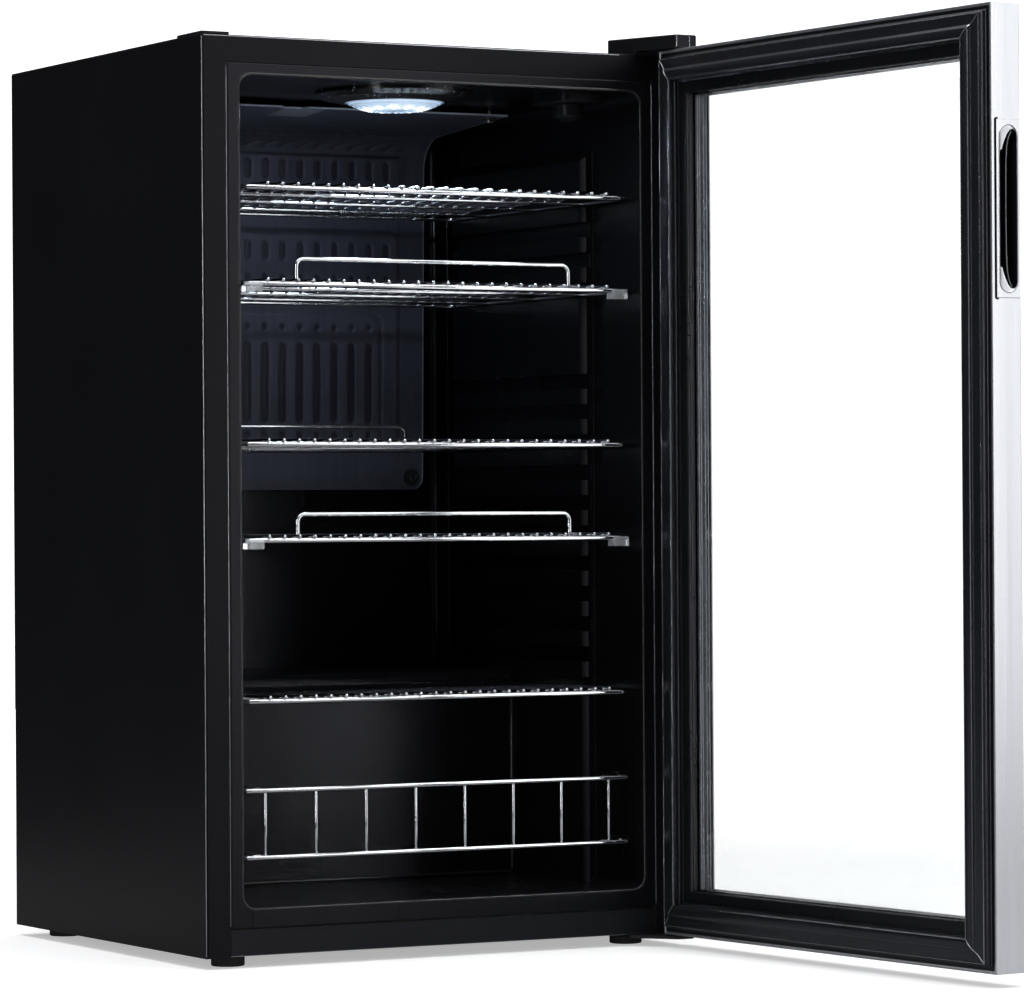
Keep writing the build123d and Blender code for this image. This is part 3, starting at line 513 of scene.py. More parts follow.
def formed_plastic():
    """The liner's warm-formed black sheet: semi-gloss, slightly wavy, with narrow grooves along its floor.
    The bevels at the front of the shelf ribs are duller, more so at their back."""
    look, tree, shader = start_look("formed_liner_sheet", Specular_Tint=COOL)
    tone = use_group(
        tree, "tone", size=5.0, dark=grey(0.0022, 0.1), light=grey(0.0045, 0.1), smooth=0.2, rough=0.3
    )
    wall = use_group(
        tree, "wall", wave_scale=14.0, wave_depth=0.0006, grain_scale=1100.0, grain_depth=0.000012,
        edge_radius=0.0012,
    )
    parts = node(tree, "ShaderNodeSeparateXYZ", {0: object_place(tree)}).outputs
    # The floor grooves are dented by the bump and also painted black inside: painted shade in the grooves.
    from_line = math_node(tree, "PINGPONG", math_node(tree, "ADD", parts["X"], 1.0), FLOOR_GROOVE_PITCH / 2)
    low = math_node(tree, "LESS_THAN", parts["Z"], LINER_FLOOR_TOP)
    groove_and_painted_shade = math_node(tree, "MULTIPLY", math_node(tree, "LESS_THAN", from_line, FLOOR_GROOVE_HALF), low)
    film = use_group(tree, "dust", amount=0.05)["Mask"]
    colour = blend_colour(tree, film, tone["Colour"], (0.2, 0.2, 0.21, 1.0))

    behind = math_node(tree, "SUBTRACT", parts["Y"], RIB_BEVEL_BACK)
    along = math_node(tree, "MULTIPLY", behind, -1 / RIB_BEVEL_DEPTH)
    from_middle = math_node(tree, "ABSOLUTE", math_node(tree, "SUBTRACT", along, 0.5))
    side = math_node(tree, "ABSOLUTE", parts["X"])
    bevel = math_node(tree, "LESS_THAN", from_middle, 0.56)
    for edge, operation in ((RIB_BEVEL_INNER, "GREATER_THAN"), (RIB_BEVEL_OUTER, "LESS_THAN")):
        bevel = math_node(tree, "MULTIPLY", bevel, math_node(tree, operation, side, edge))
    bevel_shine = spread(tree, along, 0.005, 0.085)
    shine = node(tree, "ShaderNodeMix", {0: bevel, 2: 0.23, 3: bevel_shine}, data_type="FLOAT").outputs[0]
    join(
        tree,
        shader,
        Base_Color=blend_colour(tree, groove_and_painted_shade, colour, BLACK),
        Roughness=tone["Roughness"],
        Specular_IOR_Level=shine,
        Normal=bump(tree, groove_and_painted_shade, -0.0015, wall["Normal"]),
    )
    return look


def speckled_dish():
    """The black glossy dish round the light: small moulded pips, coloured light grey-blue as a painted glint.
    """
    look, tree, shader = start_look("glossy_light_dish", Specular_IOR_Level=0.6)
    tone = use_group(tree, "tone", size=30.0, dark=grey(0.003), light=grey(0.007), smooth=0.12, rough=0.22)
    cells = node(tree, "ShaderNodeTexVoronoi", {"Vector": object_place(tree), "Scale": 260.0})
    shade = node(tree, "ShaderNodeSeparateColor", {0: cells.outputs["Color"]}).outputs["Red"]
    centre = math_node(tree, "LESS_THAN", cells.outputs["Distance"], 0.2)
    pip_and_painted_glint = math_node(tree, "MULTIPLY", centre, math_node(tree, "GREATER_THAN", shade, 0.8))
    grain = use_group(tree, "grain", grain_scale=900.0, grain_depth=0.00004, edge_radius=0.0008)
    join(
        tree,
        shader,
        # Each pip is painted light: a painted highlight on it.
        Base_Color=blend_colour(tree, pip_and_painted_glint, tone["Colour"], (0.5, 0.55, 0.62, 1.0)),
        Roughness=tone["Roughness"],
        Normal=bump(tree, pip_and_painted_glint, 0.0004, grain["Normal"]),
    )
    return look


def spangled_zinc():
    """Galvanised sheet with its crystal spangle."""
    look, tree, shader = start_look("galvanised_sheet", Metallic=1.0)
    crystals = node(tree, "ShaderNodeTexVoronoi", {"Vector": object_place(tree), "Scale": 190.0})
    shade = node(tree, "ShaderNodeSeparateColor", {0: crystals.outputs["Color"]}).outputs["Red"]
    grain = use_group(tree, "grain", grain_scale=400.0, grain_depth=0.00002, edge_radius=0.0004)
    film = use_group(tree, "dust", amount=0.35)["Mask"]
    colour = blend_colour(tree, shade, grey(0.5, 0.03), grey(0.58, 0.03))
    join(
        tree,
        shader,
        Base_Color=blend_colour(tree, film, colour, (0.4, 0.38, 0.35, 1.0)),
        Roughness=spread(tree, shade, 0.38, 0.46),
        Normal=grain["Normal"],
    )
    return look


def blown_foam():
    """Blown foam: pale yellow with open cells."""
    look, tree, shader = start_look("blown_foam", Roughness=0.95)
    pores = node(tree, "ShaderNodeTexVoronoi", {"Vector": object_place(tree), "Scale": 420.0})
    cells = pores.outputs["Distance"]
    tone = use_group(
        tree, "tone", size=9.0, dark=(0.52, 0.42, 0.2, 1), light=(0.72, 0.62, 0.36, 1), smooth=0.85,
        rough=0.98,
    )
    join(
        tree,
        shader,
        # The colour darkens towards the middle of each cell: painted shade in the open pores.
        Base_Color=blend_colour(tree, cells, (0.4, 0.31, 0.13, 1), tone["Colour"]),
        Roughness=tone["Roughness"],
        Normal=bump(tree, cells, 0.0006),
    )
    return look


def coated_evaporator():
    """The slate blue-grey coat of the cold plate: satin, with a fine powder texture and faint streaks."""
    look, tree, shader = start_look("slate_coated_plate", Metallic=0.2, Specular_IOR_Level=0.4)
    tone = use_group(
        tree, "tone", size=8.0, dark=(0.056, 0.06, 0.09, 1), light=(0.098, 0.102, 0.138, 1),
        smooth=0.36, rough=0.5,
    )
    grain = use_group(tree, "grain", grain_scale=1500.0, grain_depth=0.00005, edge_radius=0.0006)
    streak_place, _ = vector_node(tree, "MULTIPLY", object_place(tree), (120.0, 30.0, 4.0))
    streaks = spread(tree, noise(tree, streak_place, 1.0, 3.0), -0.5, 0.8)
    faint = math_node(tree, "MULTIPLY", streaks, 0.3, clamp=True)
    colour = blend_colour(tree, faint, tone["Colour"], (0.19, 0.195, 0.24, 1))
    # The shade attribute paints light and shade. Above 0 it darkens the colour as painted shade in pads,
    # slots, creases and rims. Below 0 it lightens it as a painted highlight on the front edge, tab and side
    # edges.
    shade = node(tree, "ShaderNodeAttribute", attribute_name="shade").outputs["Fac"]
    painted_recess_shade = math_node(tree, "MAXIMUM", shade, 0.0, clamp=True)
    painted_light_on_edges = math_node(tree, "MULTIPLY", shade, -1.0, clamp=True)
    colour = blend_colour(tree, painted_recess_shade, colour, (0.012, 0.013, 0.02, 1))
    colour = blend_colour(tree, painted_light_on_edges, colour, (0.42, 0.46, 0.55, 1))
    join(tree, shader, Base_Color=colour, Roughness=tone["Roughness"], Normal=grain["Normal"])
    return look


def brushed_stainless():
    """Stainless sheet brushed from top to bottom."""
    look, tree, shader = start_look("brushed_stainless", Metallic=1.0, Anisotropic=0.35)
    brush = use_group(
        tree,
        "brush",
        stretch=(1400.0, 1400.0, 5.0),
        dark=grey(0.88, 0.035),
        light=grey(0.96, 0.035),
        smooth=0.24,
        rough=0.4,
        depth=0.00001,
    )
    edge_mask = use_group(tree, "wear", radius=0.001, amount=0.6, patch_scale=30.0)["Mask"]
    join(
        tree,
        shader,
        Base_Color=blend_colour(tree, edge_mask, brush["Colour"], grey(0.9)),
        Roughness=brush["Roughness"],
        Normal=brush["Normal"],
    )
    return look


def clear_pane():
    """Clear float glass. A shadow passes through it as light does."""
    look, tree, shader = start_look("clear_float_glass", IOR=1.5, Transmission_Weight=1.0)
    tone = use_group(
        tree, "tone", size=3.0, dark=(0.975, 0.99, 0.985, 1), light=(0.995, 1.0, 0.998, 1),
        smooth=0.0, rough=0.006,
    )
    join(tree, shader, Base_Color=tone["Colour"], Roughness=tone["Roughness"])
    out = tree.nodes["Material Output"].inputs["Surface"]
    solid = tree.nodes["Principled BSDF"].outputs[0]
    through = node(tree, "ShaderNodeBsdfTransparent", {"Color": (0.94, 0.97, 0.96, 1)}).outputs[0]
    shadow = node(tree, "ShaderNodeLightPath").outputs["Is Shadow Ray"]
    tree.links.new(node(tree, "ShaderNodeMixShader", {0: shadow, 1: solid, 2: through}).outputs[0], out)
    return look


def glowing_lens(centre):
    """The clear lens of the ceiling light, lit from behind by its ring of lamps."""
    look, tree, shader = start_look(
        "lit_lens", Roughness=0.08, Transmission_Weight=0.12, Specular_IOR_Level=0.6, Emission_Strength=5.0
    )
    points = use_group(
        tree,
        "lamps",
        centre=centre,
        ring_radius=0.027,
        spread=0.003,
        ring_wave=2 * math.pi / 0.0042,
        gap=(0.003, 0.006, 0.013, 1),
        glow=(0.05, 0.075, 0.105, 1),
        hot=(0.95, 0.98, 1.0, 1),
    )
    tone = use_group(
        tree, "tone", size=60.0, dark=(0.78, 0.86, 0.92, 1), light=(0.95, 0.98, 1.0, 1),
        smooth=0.04, rough=0.14,
    )
    join(
        tree,
        shader,
        Base_Color=tone["Colour"],
        Roughness=tone["Roughness"],
        Emission_Color=points["Colour"],
    )
    return look


def lit_lamp():
    """The face of one lamp."""
    look, tree, shader = start_look("lit_lamp", Roughness=0.3, Emission_Strength=6.0)
    tone = use_group(
        tree, "tone", size=500.0, dark=(0.7, 0.82, 0.95, 1), light=(0.95, 0.98, 1.0, 1),
        smooth=0.25, rough=0.4,
    )
    join(tree, shader, Base_Color=tone["Colour"], Emission_Color=tone["Colour"], Roughness=tone["Roughness"])
    return look


def bright_wire():
    """Chrome-plated wire with the faint ripple of drawn wire under the plating."""
    look, tree, shader = start_look("chromed_wire", Metallic=1.0)
    tone = use_group(
        tree, "tone", size=40.0, dark=grey(0.68, 0.03), light=grey(0.88, 0.03), smooth=0.03, rough=0.1
    )
    ripple = bump(tree, noise(tree, object_place(tree), 420.0, 2.0), 0.00006)
    join(tree, shader, Base_Color=tone["Colour"], Roughness=tone["Roughness"], Normal=ripple)
    return look


def clear_clip():
    """Clear moulded plastic that has gone a little milky."""
    look, tree, shader = start_look("clear_clip_plastic", Transmission_Weight=0.85, IOR=1.49)
    tone = use_group(
        tree, "tone", size=120.0, dark=(0.7, 0.72, 0.76, 1), light=(0.92, 0.94, 0.97, 1),
        smooth=0.03, rough=0.12,
    )
    grain = use_group(tree, "grain", grain_scale=600.0, grain_depth=0.00003, edge_radius=0.0006)
    join(tree, shader, Base_Color=tone["Colour"], Roughness=tone["Roughness"], Normal=grain["Normal"])
    return look


LIGHT_LO, LIGHT_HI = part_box("light_lens")
LIGHT_CENTRE = (LIGHT_LO + LIGHT_HI) / 2

LOOKS = {
    "cabinet_paint": painted(
        "satin_black_paint", grey(0.0022, 0.12), grey(0.0038, 0.12), 0.26, 0.36, 700.0, 0.00002, 0.04,
        Specular_IOR_Level=0.16, Specular_Tint=COOL
    ),
    "frame_paint": painted(
        "charcoal_paint", grey(0.006, 0.1), grey(0.01, 0.1), 0.32, 0.44, 800.0, 0.00002, 0.04,
        Specular_IOR_Level=0.2, Specular_Tint=COOL
    ),
    "galvanised": spangled_zinc(),
    "black_cover": painted(
        "moulded_black_cover", grey(0.005, 0.08), grey(0.01, 0.08), 0.24, 0.36, 1300.0, 0.00003, 0.06,
        size=20.0, edge=0.0012, Specular_IOR_Level=0.16, Specular_Tint=COOL
    ),
    "liner_black": formed_plastic(),
    "foam": blown_foam(),
    "copper_tube": plain_metal(
        "drawn_copper", (0.42, 0.17, 0.08, 1), (0.8, 0.42, 0.26, 1), 0.24, 0.5, 30.0, 500.0, 0.00004
    ),
    "evaporator_coat": coated_evaporator(),
    "black_rubber": painted(
        "black_rubber", grey(0.008), grey(0.016), 0.6, 0.8, 900.0, 0.00008, 0.1, size=40.0, edge=0.0005
    ),
    "plated_screw": plain_metal("plated_screw", grey(0.5), grey(0.78), 0.16, 0.34, 200.0, 1500.0, 0.00002),
    "lens_clear": glowing_lens(LIGHT_CENTRE),
    "board_white": painted(
        "white_board", grey(0.7), grey(0.82), 0.4, 0.5, 900.0, 0.00002, 0.0, size=60.0, edge=0.0002
    ),
    "lamp_light": lit_lamp(),
    "chrome_wire": bright_wire(),
    "clip_clear": clear_clip(),
    "compressor_black": painted(
        "black_enamelled_iron", grey(0.008), grey(0.018), 0.28, 0.5, 160.0, 0.0002, 0.25, size=30.0,
        edge=0.001
    ),
    "tray_plastic": painted(
        "dark_tray_plastic", grey(0.05), grey(0.08), 0.4, 0.6, 700.0, 0.00005, 0.2, size=16.0
    ),
    "stainless": brushed_stainless(),
    "door_plastic": painted(
        "moulded_door_lining", grey(0.004, 0.12), grey(0.008, 0.12), 0.22, 0.34, 900.0, 0.00002, 0.04,
        size=10.0, Specular_IOR_Level=0.3, Specular_Tint=COOL
    ),
    "bush_plastic": painted(
        "grey_bush_plastic", grey(0.35), grey(0.48), 0.35, 0.5, 900.0, 0.00004, 0.05, size=80.0, edge=0.0004
    ),
    "gasket_rubber": painted(
        "soft_black_gasket", grey(0.006, 0.15), grey(0.012, 0.15), 0.18, 0.28, 1200.0, 0.00002, 0.03,
        size=14.0, edge=0.0003, Specular_Tint=COOL
    ),
    "pane_glass": clear_pane(),
    "spacer_metal": plain_metal(
        "anodised_spacer", grey(0.02, 0.08), grey(0.04, 0.08), 0.16, 0.28, 30.0, 900.0, 0.00002
    ),
}

LOOKS["bead_gloss"] = painted(
    "glossy_liner_bead", grey(0.008, 0.06), grey(0.014, 0.06), 0.14, 0.22, 900.0, 0.00001, 0.02, edge=0.0003
)
# Bright metal for thin beads that stand for the light on folds, gasket ridges, welds and corners: painted
# highlight.
LOOKS["edge_glint"] = plain_metal(
    "painted_glint_metal", grey(0.42, 0.05), grey(0.6, 0.05), 0.14, 0.26, 60.0, 900.0, 0.00001, edge=0.0001
)
# Lighter than the spacer's face, so its beads read as lines of light: painted highlight.
LOOKS["spacer_edge"] = plain_metal(
    "spacer_highlight_lines", grey(0.14, 0.08), grey(0.22, 0.08), 0.16, 0.28, 30.0, 900.0, 0.00002, edge=0.0001
)
# Dead black, with hardly any sheen, for beads that stand for shadow in gaps and beside folds: painted shadow.
LOOKS["gap_shadow_black"] = painted(
    "painted_gap_shadow", grey(0.001), grey(0.002), 0.6, 0.8, 900.0, 0.00002, 0.0, edge=0.0002,
    Specular_IOR_Level=0.08
)

NODE_LOOKS = {"light_housing": speckled_dish()}

for node_name, cad_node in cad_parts.items():
    for material_slot in cad_node.material_slots:
        by_slot = LOOKS[material_slot.material.name.split(".")[0]]
        material_slot.material = NODE_LOOKS.get(node_name, by_slot)


# ---------------------------------------------------------------- wire shelves
FRAME_WIRE = 4.6 * MM
CROSS_WIRE = 3.8 * MM
DEPTH_WIRE = 3.4 * MM
RAIL_WIRE = 4.0 * MM
WIRE_COUNT = 24
WIRE_PITCH = 15.14 * MM
SHELF_BODIES = ["top_shelf", "second_shelf", "middle_shelf", "fourth_shelf", "low_shelf"]
UP = (0.0, 0.0, 1.0)
DEEP = (0.0, 1.0, 0.0)


def wire_shelf(number, body):
    """A bent frame of wire, bars across it, and thin wires from front to back laid on top."""
    lo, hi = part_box(f"shelf_{number}")
    half = hi.x - FRAME_WIRE / 2
    front = lo.y + FRAME_WIRE / 2
    rear = hi.y - FRAME_WIRE / 2
    level = lo.z + FRAME_WIRE / 2
    corners = [(-half, rear, level), (-half, front, level), (half, front, level), (half, rear, level)]
    piece = Piece(f"shelf_{number}_wires")
    piece.add(
        tube(rounded_path(corners, 12 * MM, closed=True), FRAME_WIRE / 2, UP, closed=True),
        around_rows=True,
        around_columns=True,
    )
    bars = [front + 11 * MM] + [y for y in (-0.119, -0.027, 0.065) if y < rear - 0.02]
    starts = np.array([(-half, y, level) for y in bars])
    ends = starts * (-1, 1, 1)
    x = WIRE_PITCH * (np.arange(WIRE_COUNT) - (WIRE_COUNT - 1) / 2)
    top = hi.z - DEPTH_WIRE / 2
    inset = FRAME_WIRE / 2 - DEPTH_WIRE / 2
    wire_starts = np.stack([x, np.full_like(x, lo.y + inset), np.full_like(x, top)], -1)
    wire_ends = wire_starts * (1, 0, 1) + np.array((0, hi.y - inset, 0))
    for wires in (
        straight_wires(starts, ends, CROSS_WIRE / 2, UP),
        straight_wires(wire_starts, wire_ends, DEPTH_WIRE / 2, UP),
    ):
        for wire in wires:
            piece.add(wire, around_columns=True)
    made = piece.make(LOOKS["chrome_wire"], body, "chrome_wire")
    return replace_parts(made, f"shelf_{number}")


def gallery_rail(number, body):
    """The low rail on a shelf: up, across and down, with a round bend at each corner."""
    lo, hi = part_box(f"shelf_{number}_rail")
    radius = RAIL_WIRE / 2
    y = (lo.y + hi.y) / 2
    x, top = hi.x - radius, hi.z - radius
    corners = [(-x, y, lo.z), (-x, y, top), (x, y, top), (x, y, lo.z)]
    piece = Piece(f"shelf_{number}_gallery")
    path = rounded_path(corners, 7 * MM)
    ends = straight_wires([path[0]], [path[0] + (0, 0, 1e-5)], radius, DEEP)
    other_ends = straight_wires([path[-1] + (0, 0, 1e-5)], [path[-1]], radius, DEEP)
    piece.add(tube(path, radius, DEEP), around_columns=True)
    piece.add(ends[0], around_columns=True).add(other_ends[0], around_columns=True)
    made = piece.make(LOOKS["chrome_wire"], body, "chrome_wire")
    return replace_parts(made, f"shelf_{number}_rail")


for shelf_number, shelf_body in enumerate(SHELF_BODIES, start=1):
    wire_shelf(shelf_number, shelf_body)
    if f"shelf_{shelf_number}_rail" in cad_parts:
        gallery_rail(shelf_number, shelf_body)


def bottle_guard():
    """Two long bars whose ends turn back in a hairpin, and eight upright wires welded behind them."""
    bar_wire, upright_wire = 4.4 * MM, 3.0 * MM
    lo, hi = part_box("guard_rail")
    half = hi.x - bar_wire / 2
    front = lo.y + bar_wire / 2
    back = hi.y - bar_wire / 2
    inner = half - 22 * MM
    low, high = lo.z + bar_wire / 2, hi.z - bar_wire / 2
    piece = Piece("bottle_guard")
    for z in (low, high):
        corners = [(-inner, back), (-half, back), (-half, front), (half, front), (half, back), (inner, back)]
        path = rounded_path([(x, y, z) for x, y in corners], 6.4 * MM)
        piece.add(tube(path, bar_wire / 2, UP), around_columns=True)
        for end, along in ((path[0], 1e-5), (path[-1], -1e-5)):
            cap = straight_wires([end], [end + (along, 0, 0)], bar_wire / 2, UP)
            piece.add(cap[0], around_columns=True)
    x = 50.44 * MM * (np.arange(8) - 3.5)
    y = np.full_like(x, front + 3.2 * MM)
    foot = np.stack([x, y, np.full_like(x, low)], -1)
    head = np.stack([x, y, np.full_like(x, high)], -1)
    for wire in straight_wires(foot, head, upright_wire / 2, DEEP):
        piece.add(wire, around_columns=True)
    made = piece.make(LOOKS["chrome_wire"], "cabinet", "chrome_wire")
    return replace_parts(made, "guard_rail")


bottle_guard()


# ---------------------------------------------------------------- evaporator plate
PAD_PITCH = 19.05 * MM
PLATE_T = 1.6 * MM
RELIEF = 1.5 * MM
SOFT = 0.8 * MM


def cold_plate():
    """The plate follows a bent line from the ceiling down the back wall. Its surface is that line, carried
    across the cavity and pushed out along its normal by the relief: channels stand proud by RELIEF inside
    rounded fields, and return to the plate at each bonded spot. A spot is a capsule: the distance to a
    short line, less its radius, through a soft step. The spots repeat across the plate on one pitch."""
    lo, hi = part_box("evaporator_plate")
    half = hi.x
    bend = 36 * MM
    corner = (0.0, 0.177, 0.7735)
    bottom = lo.z
    line = rounded_path([(0, 0.003, 0.7855), corner, (0, 0.184, bottom)], bend, steps=24)
    run = np.concatenate([[0.0], np.cumsum(np.linalg.norm(np.diff(line, axis=0), axis=1))])
    length = run[-1]

    def down(z):
        """How far along the line a height on the back wall is."""
        return length - (z - bottom)

    one_side = np.array([1.2, 2.4, 3.2, 3.8, 4.4, 5.0, 6.2, 7.8]) * MM
    offsets = np.concatenate([-one_side[::-1], [0.0], one_side])
    columns_at = ((np.arange(-8, 8)[:, None] + 0.5) * PAD_PITCH + offsets).ravel()
    round_side = half - 12 * MM * (1 - np.sin(np.linspace(0, np.pi / 2, 9)))
    margin = np.concatenate([stations(0.1605, half - 0.0125, 4 * MM), round_side])
    field_edges = np.array([132.5, 133.8, 135.2, 136.4, 137.6, 139.0, 153.4, 154.6, 155.8, 157.0]) * MM
    across = np.unique(np.round(np.concatenate([-margin, -field_edges, columns_at, field_edges, margin]), 6))
    across = across[np.concatenate([[True], np.diff(across) > 0.25 * MM])]
    spots = [
        (down(0.740), 6.2 * MM, 3.9 * MM, 8),
        (down(0.6595), 5.8 * MM, 3.9 * MM, 8),
        (down(0.633), 0.4 * MM, 3.8 * MM, 8),
        (down(0.585), 0.0, 4.0 * MM, 7),
        (down(0.530), 36.0 * MM, 4.4 * MM, 7),
        (down(0.4786), 0.4 * MM, 4.0 * MM, 7),
    ]
    fine_rows = [s + end * (span + radius) for s, span, radius, _ in spots for end in (-1, 1)]
    fine_rows += [down(0.757), down(0.708), down(0.6807), down(0.598), down(0.466)]
    fine_rows += [143 * MM, 157 * MM, 168 * MM, 180 * MM, 4 * MM, 52 * MM]
    along = stations(0.0, length, 6 * MM, 1.1 * MM, fine_rows, 4.4 * MM)
    round_end = length - 14 * MM * (1 - np.sin(np.linspace(0, np.pi / 2, 8)))
    along = np.unique(np.round(np.concatenate([along[along < length - 14 * MM], round_end]), 6))

    x, s = np.meshgrid(across, along)
    folded = (np.mod(x / PAD_PITCH, 1.0) - 0.5) * PAD_PITCH

    def field(edge, top, bottom, corner_radius):
        """1 inside a field with rounded corners, 0 outside it."""
        middle, reach = (top + bottom) / 2, abs(bottom - top) / 2
        dx = np.maximum(np.abs(x) - edge + corner_radius, 0)
        ds = np.maximum(np.abs(s - middle) - reach + corner_radius, 0)
        return 1 - soft_step(np.hypot(dx, ds) - corner_radius, -SOFT, SOFT)

    raised = np.maximum(
        field(164 * MM, down(0.757), down(0.708), 10 * MM),
        field(155.8 * MM, down(0.6807), down(0.466), 14 * MM),
    )
    inner = field(135 * MM, down(0.598), down(0.3), 12 * MM)
    outer = field(139.5 * MM, down(0.6025), down(0.3), 15 * MM)
    raised = raised * (1 - outer * (1 - inner))
    pads = np.zeros_like(s)
    for middle, span, radius, pairs in spots:
        distance = np.hypot(folded, np.maximum(np.abs(s - middle) - span, 0)) - radius
        step, in_row = soft_step(distance, -SOFT, SOFT), np.abs(x) < pairs * PAD_PITCH
        inside = in_row & (np.abs(s - middle) < span + 3 * radius)
        raised = raised * np.where(inside, step, 1.0)
        pads = np.maximum(pads, (1 - step) * in_row)

    def near(place, width):
        """1 on a line across the plate, falling to 0 as exp(-(distance / width)^2)."""
        return np.exp(-(((s - place) / width) ** 2))

    slots = np.zeros_like(s)
    for row, reach in ((143 * MM, 4.5 * MM), (168 * MM, 3.5 * MM)):
        slant = (np.mod((x + (s - row) * 1.6) / PAD_PITCH, 1.0) - 0.5) * PAD_PITCH
        distance = np.hypot(slant * 0.6, np.maximum(np.abs(s - row) - reach, 0)) - 2.0 * MM
        slots = np.maximum(slots, (1 - soft_step(distance, -SOFT, SOFT)) * (np.abs(x) < 8.4 * PAD_PITCH))
    inside_plate = np.abs(x) < 157 * MM
    crease = near(180 * MM, 1.6 * MM) * inside_plate
    lines = (near(157 * MM, 1.0 * MM) + near(108 * MM, 2.0 * MM) + near(80 * MM, 2.0 * MM)) * inside_plate
    relief = raised * RELIEF - crease * 1.6 * MM - slots * 1.1 * MM - lines * 0.5 * MM
    rim = np.clip(1 - np.abs(field(157 * MM, down(0.757), down(0.44), 12 * MM) - 0.5) * 2, 0, 1)
    # Painted shade: the pads, slots, crease, lines and field rims are darkened through the shade attribute.
    shade = np.maximum.reduce([pads * 0.7, slots * 0.75, crease, lines * 0.5, rim * 0.35])
    # Painted highlight: the front edge, the tab and the side edges are lightened through the shade attribute.
    front_edge = np.clip(1 - s / (5 * MM), 0, 1)
    tab = (x > -48 * MM) & (x < -8 * MM) & (s < 52 * MM) & (s > 4 * MM)
    side_edge = soft_step(np.abs(x), half - 2.0 * MM, half - 0.8 * MM) * 0.8
    shade = shade - np.maximum.reduce([front_edge, tab * 0.55, side_edge])

    y0, z0 = np.interp(s, run, line[:, 1]), np.interp(s, run, line[:, 2])
    dy, dz = np.gradient(line[:, 1], run), np.gradient(line[:, 2], run)
    ny, nz = np.interp(s, run, dz), -np.interp(s, run, dy)
    end_round = 12 * MM
    past = np.maximum(s - length + end_round, 0)
    shrink = 1 - (end_round - np.sqrt(np.maximum(end_round**2 - past**2, 0))) / half
    notch = soft_step(x, -0.056, -0.053) * (1 - soft_step(x, -0.032, -0.029))
    notch = notch * 8 * MM * (1 - np.clip(s / (30 * MM), 0, 1))
    y0 = y0 + notch * np.interp(s, run, dy)
    lift = relief + PLATE_T / 2
    grid = np.stack([x * shrink, y0 + ny * lift, z0 + nz * lift], -1)
    piece = Piece("cold_plate").add(grid, shade=shade)
    made = piece.make(LOOKS["evaporator_coat"], "cabinet", "evaporator_coat", sharp=math.pi)
    thickness = made.modifiers.new("sheet_thickness", "SOLIDIFY")
    thickness.thickness = PLATE_T
    return made


plate = cold_plate()
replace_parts(plate, "evaporator_plate")


# ---------------------------------------------------------------- ceiling light lens
def fluted_lens():
    """A shallow dome with rings near its rim and flutes in its middle. On polar rings, the height is
    depth (1 - (r/R)^4), plus 0.35 mm cos(rings), plus 0.5 mm cos(flutes) where r is under 0.8 R."""
    lo, hi = LIGHT_LO, LIGHT_HI
    big = (hi.x - lo.x) / 2
    depth = 8.6 * MM
    r = np.concatenate([np.linspace(0, 0.97, 64), [0.985, 1.0]])[:, None]
    a = np.linspace(0, 2 * np.pi, 192, endpoint=False)[None, :]
    fall = depth * (1 - r**4)
    rings = 0.35 * MM * np.cos(r * 2 * np.pi * 13) * soft_step(r, 0.1, 0.3)
    flutes = 0.5 * MM * np.cos(a * 24) * soft_step(r, 0.15, 0.4) * (1 - soft_step(r, 0.72, 0.82))
    wobble = (rings + flutes) * (1 - soft_step(r, 0.94, 0.985))
    z = hi.z - 1.6 * MM - (fall + wobble) + np.zeros_like(a)
    outside = np.stack([LIGHT_CENTRE.x + big * r * np.cos(a), LIGHT_CENTRE.y + big * r * np.sin(a), z], -1)
    rim = outside[-1:] + np.array((0, 0, 1.4 * MM))
    inside = np.stack(
        [
            LIGHT_CENTRE.x + (big - 1.6 * MM) * r[::-4] * np.cos(a),
            LIGHT_CENTRE.y + (big - 1.6 * MM) * r[::-4] * np.sin(a),
            hi.z - 0.2 * MM - (fall[::-4] - 1.4 * MM) + np.zeros_like(a),
        ],
        -1,
    )
    inside[:, :, 2] = np.minimum(inside[:, :, 2], hi.z - 0.2 * MM)
    piece = Piece("fluted_lens").add(np.concatenate([outside, rim, inside]), around_columns=True)
    made = piece.make(LOOKS["lens_clear"], "cabinet", "lens_clear", sharp=math.radians(60))
    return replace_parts(made, "light_lens")


fluted_lens()


# ---------------------------------------------------------------- door trim
OPEN_ANGLE = math.radians(94.0)
HINGE_X, HINGE_Y = 0.2318, -0.2392
DOOR_W, DOOR_BACK = 0.484, -0.2245
DOOR_BOTTOM, DOOR_TOP = 0.0115, 0.8259


def open_door(points):
    """Turns points of the shut door about the hinge line, to where the open door is."""
    x, y = points[..., 0] - HINGE_X, points[..., 1] - HINGE_Y
    c, s = math.cos(OPEN_ANGLE), math.sin(OPEN_ANGLE)
    return np.stack([HINGE_X + x * c - y * s, HINGE_Y + x * s + y * c, points[..., 2]], -1)


def door_rings(name, profiles, look, slot):
    """Sections carried round the door. Each point of a section has a distance in from the door's edge
    and a height above its back face, and runs along a rectangle of that inset with mitred corners."""
    piece = Piece(name)
    turn = np.array([(-1, -1), (1, -1), (1, 1), (-1, 1)])
    for profile in profiles:
        inset, height = profile[:, 0] * MM, profile[:, 1] * MM
        half_w, half_h = DOOR_W / 2 - inset, (DOOR_TOP - DOOR_BOTTOM) / 2 - inset
        x = turn[:, :1] * half_w
        z = (DOOR_TOP + DOOR_BOTTOM) / 2 + turn[:, 1:] * half_h
        y = np.broadcast_to(DOOR_BACK + height, x.shape)
        piece.add(open_door(np.stack([x, y, z], -1)), around_rows=True, around_columns=True)
    return piece.make(look, "door", slot)


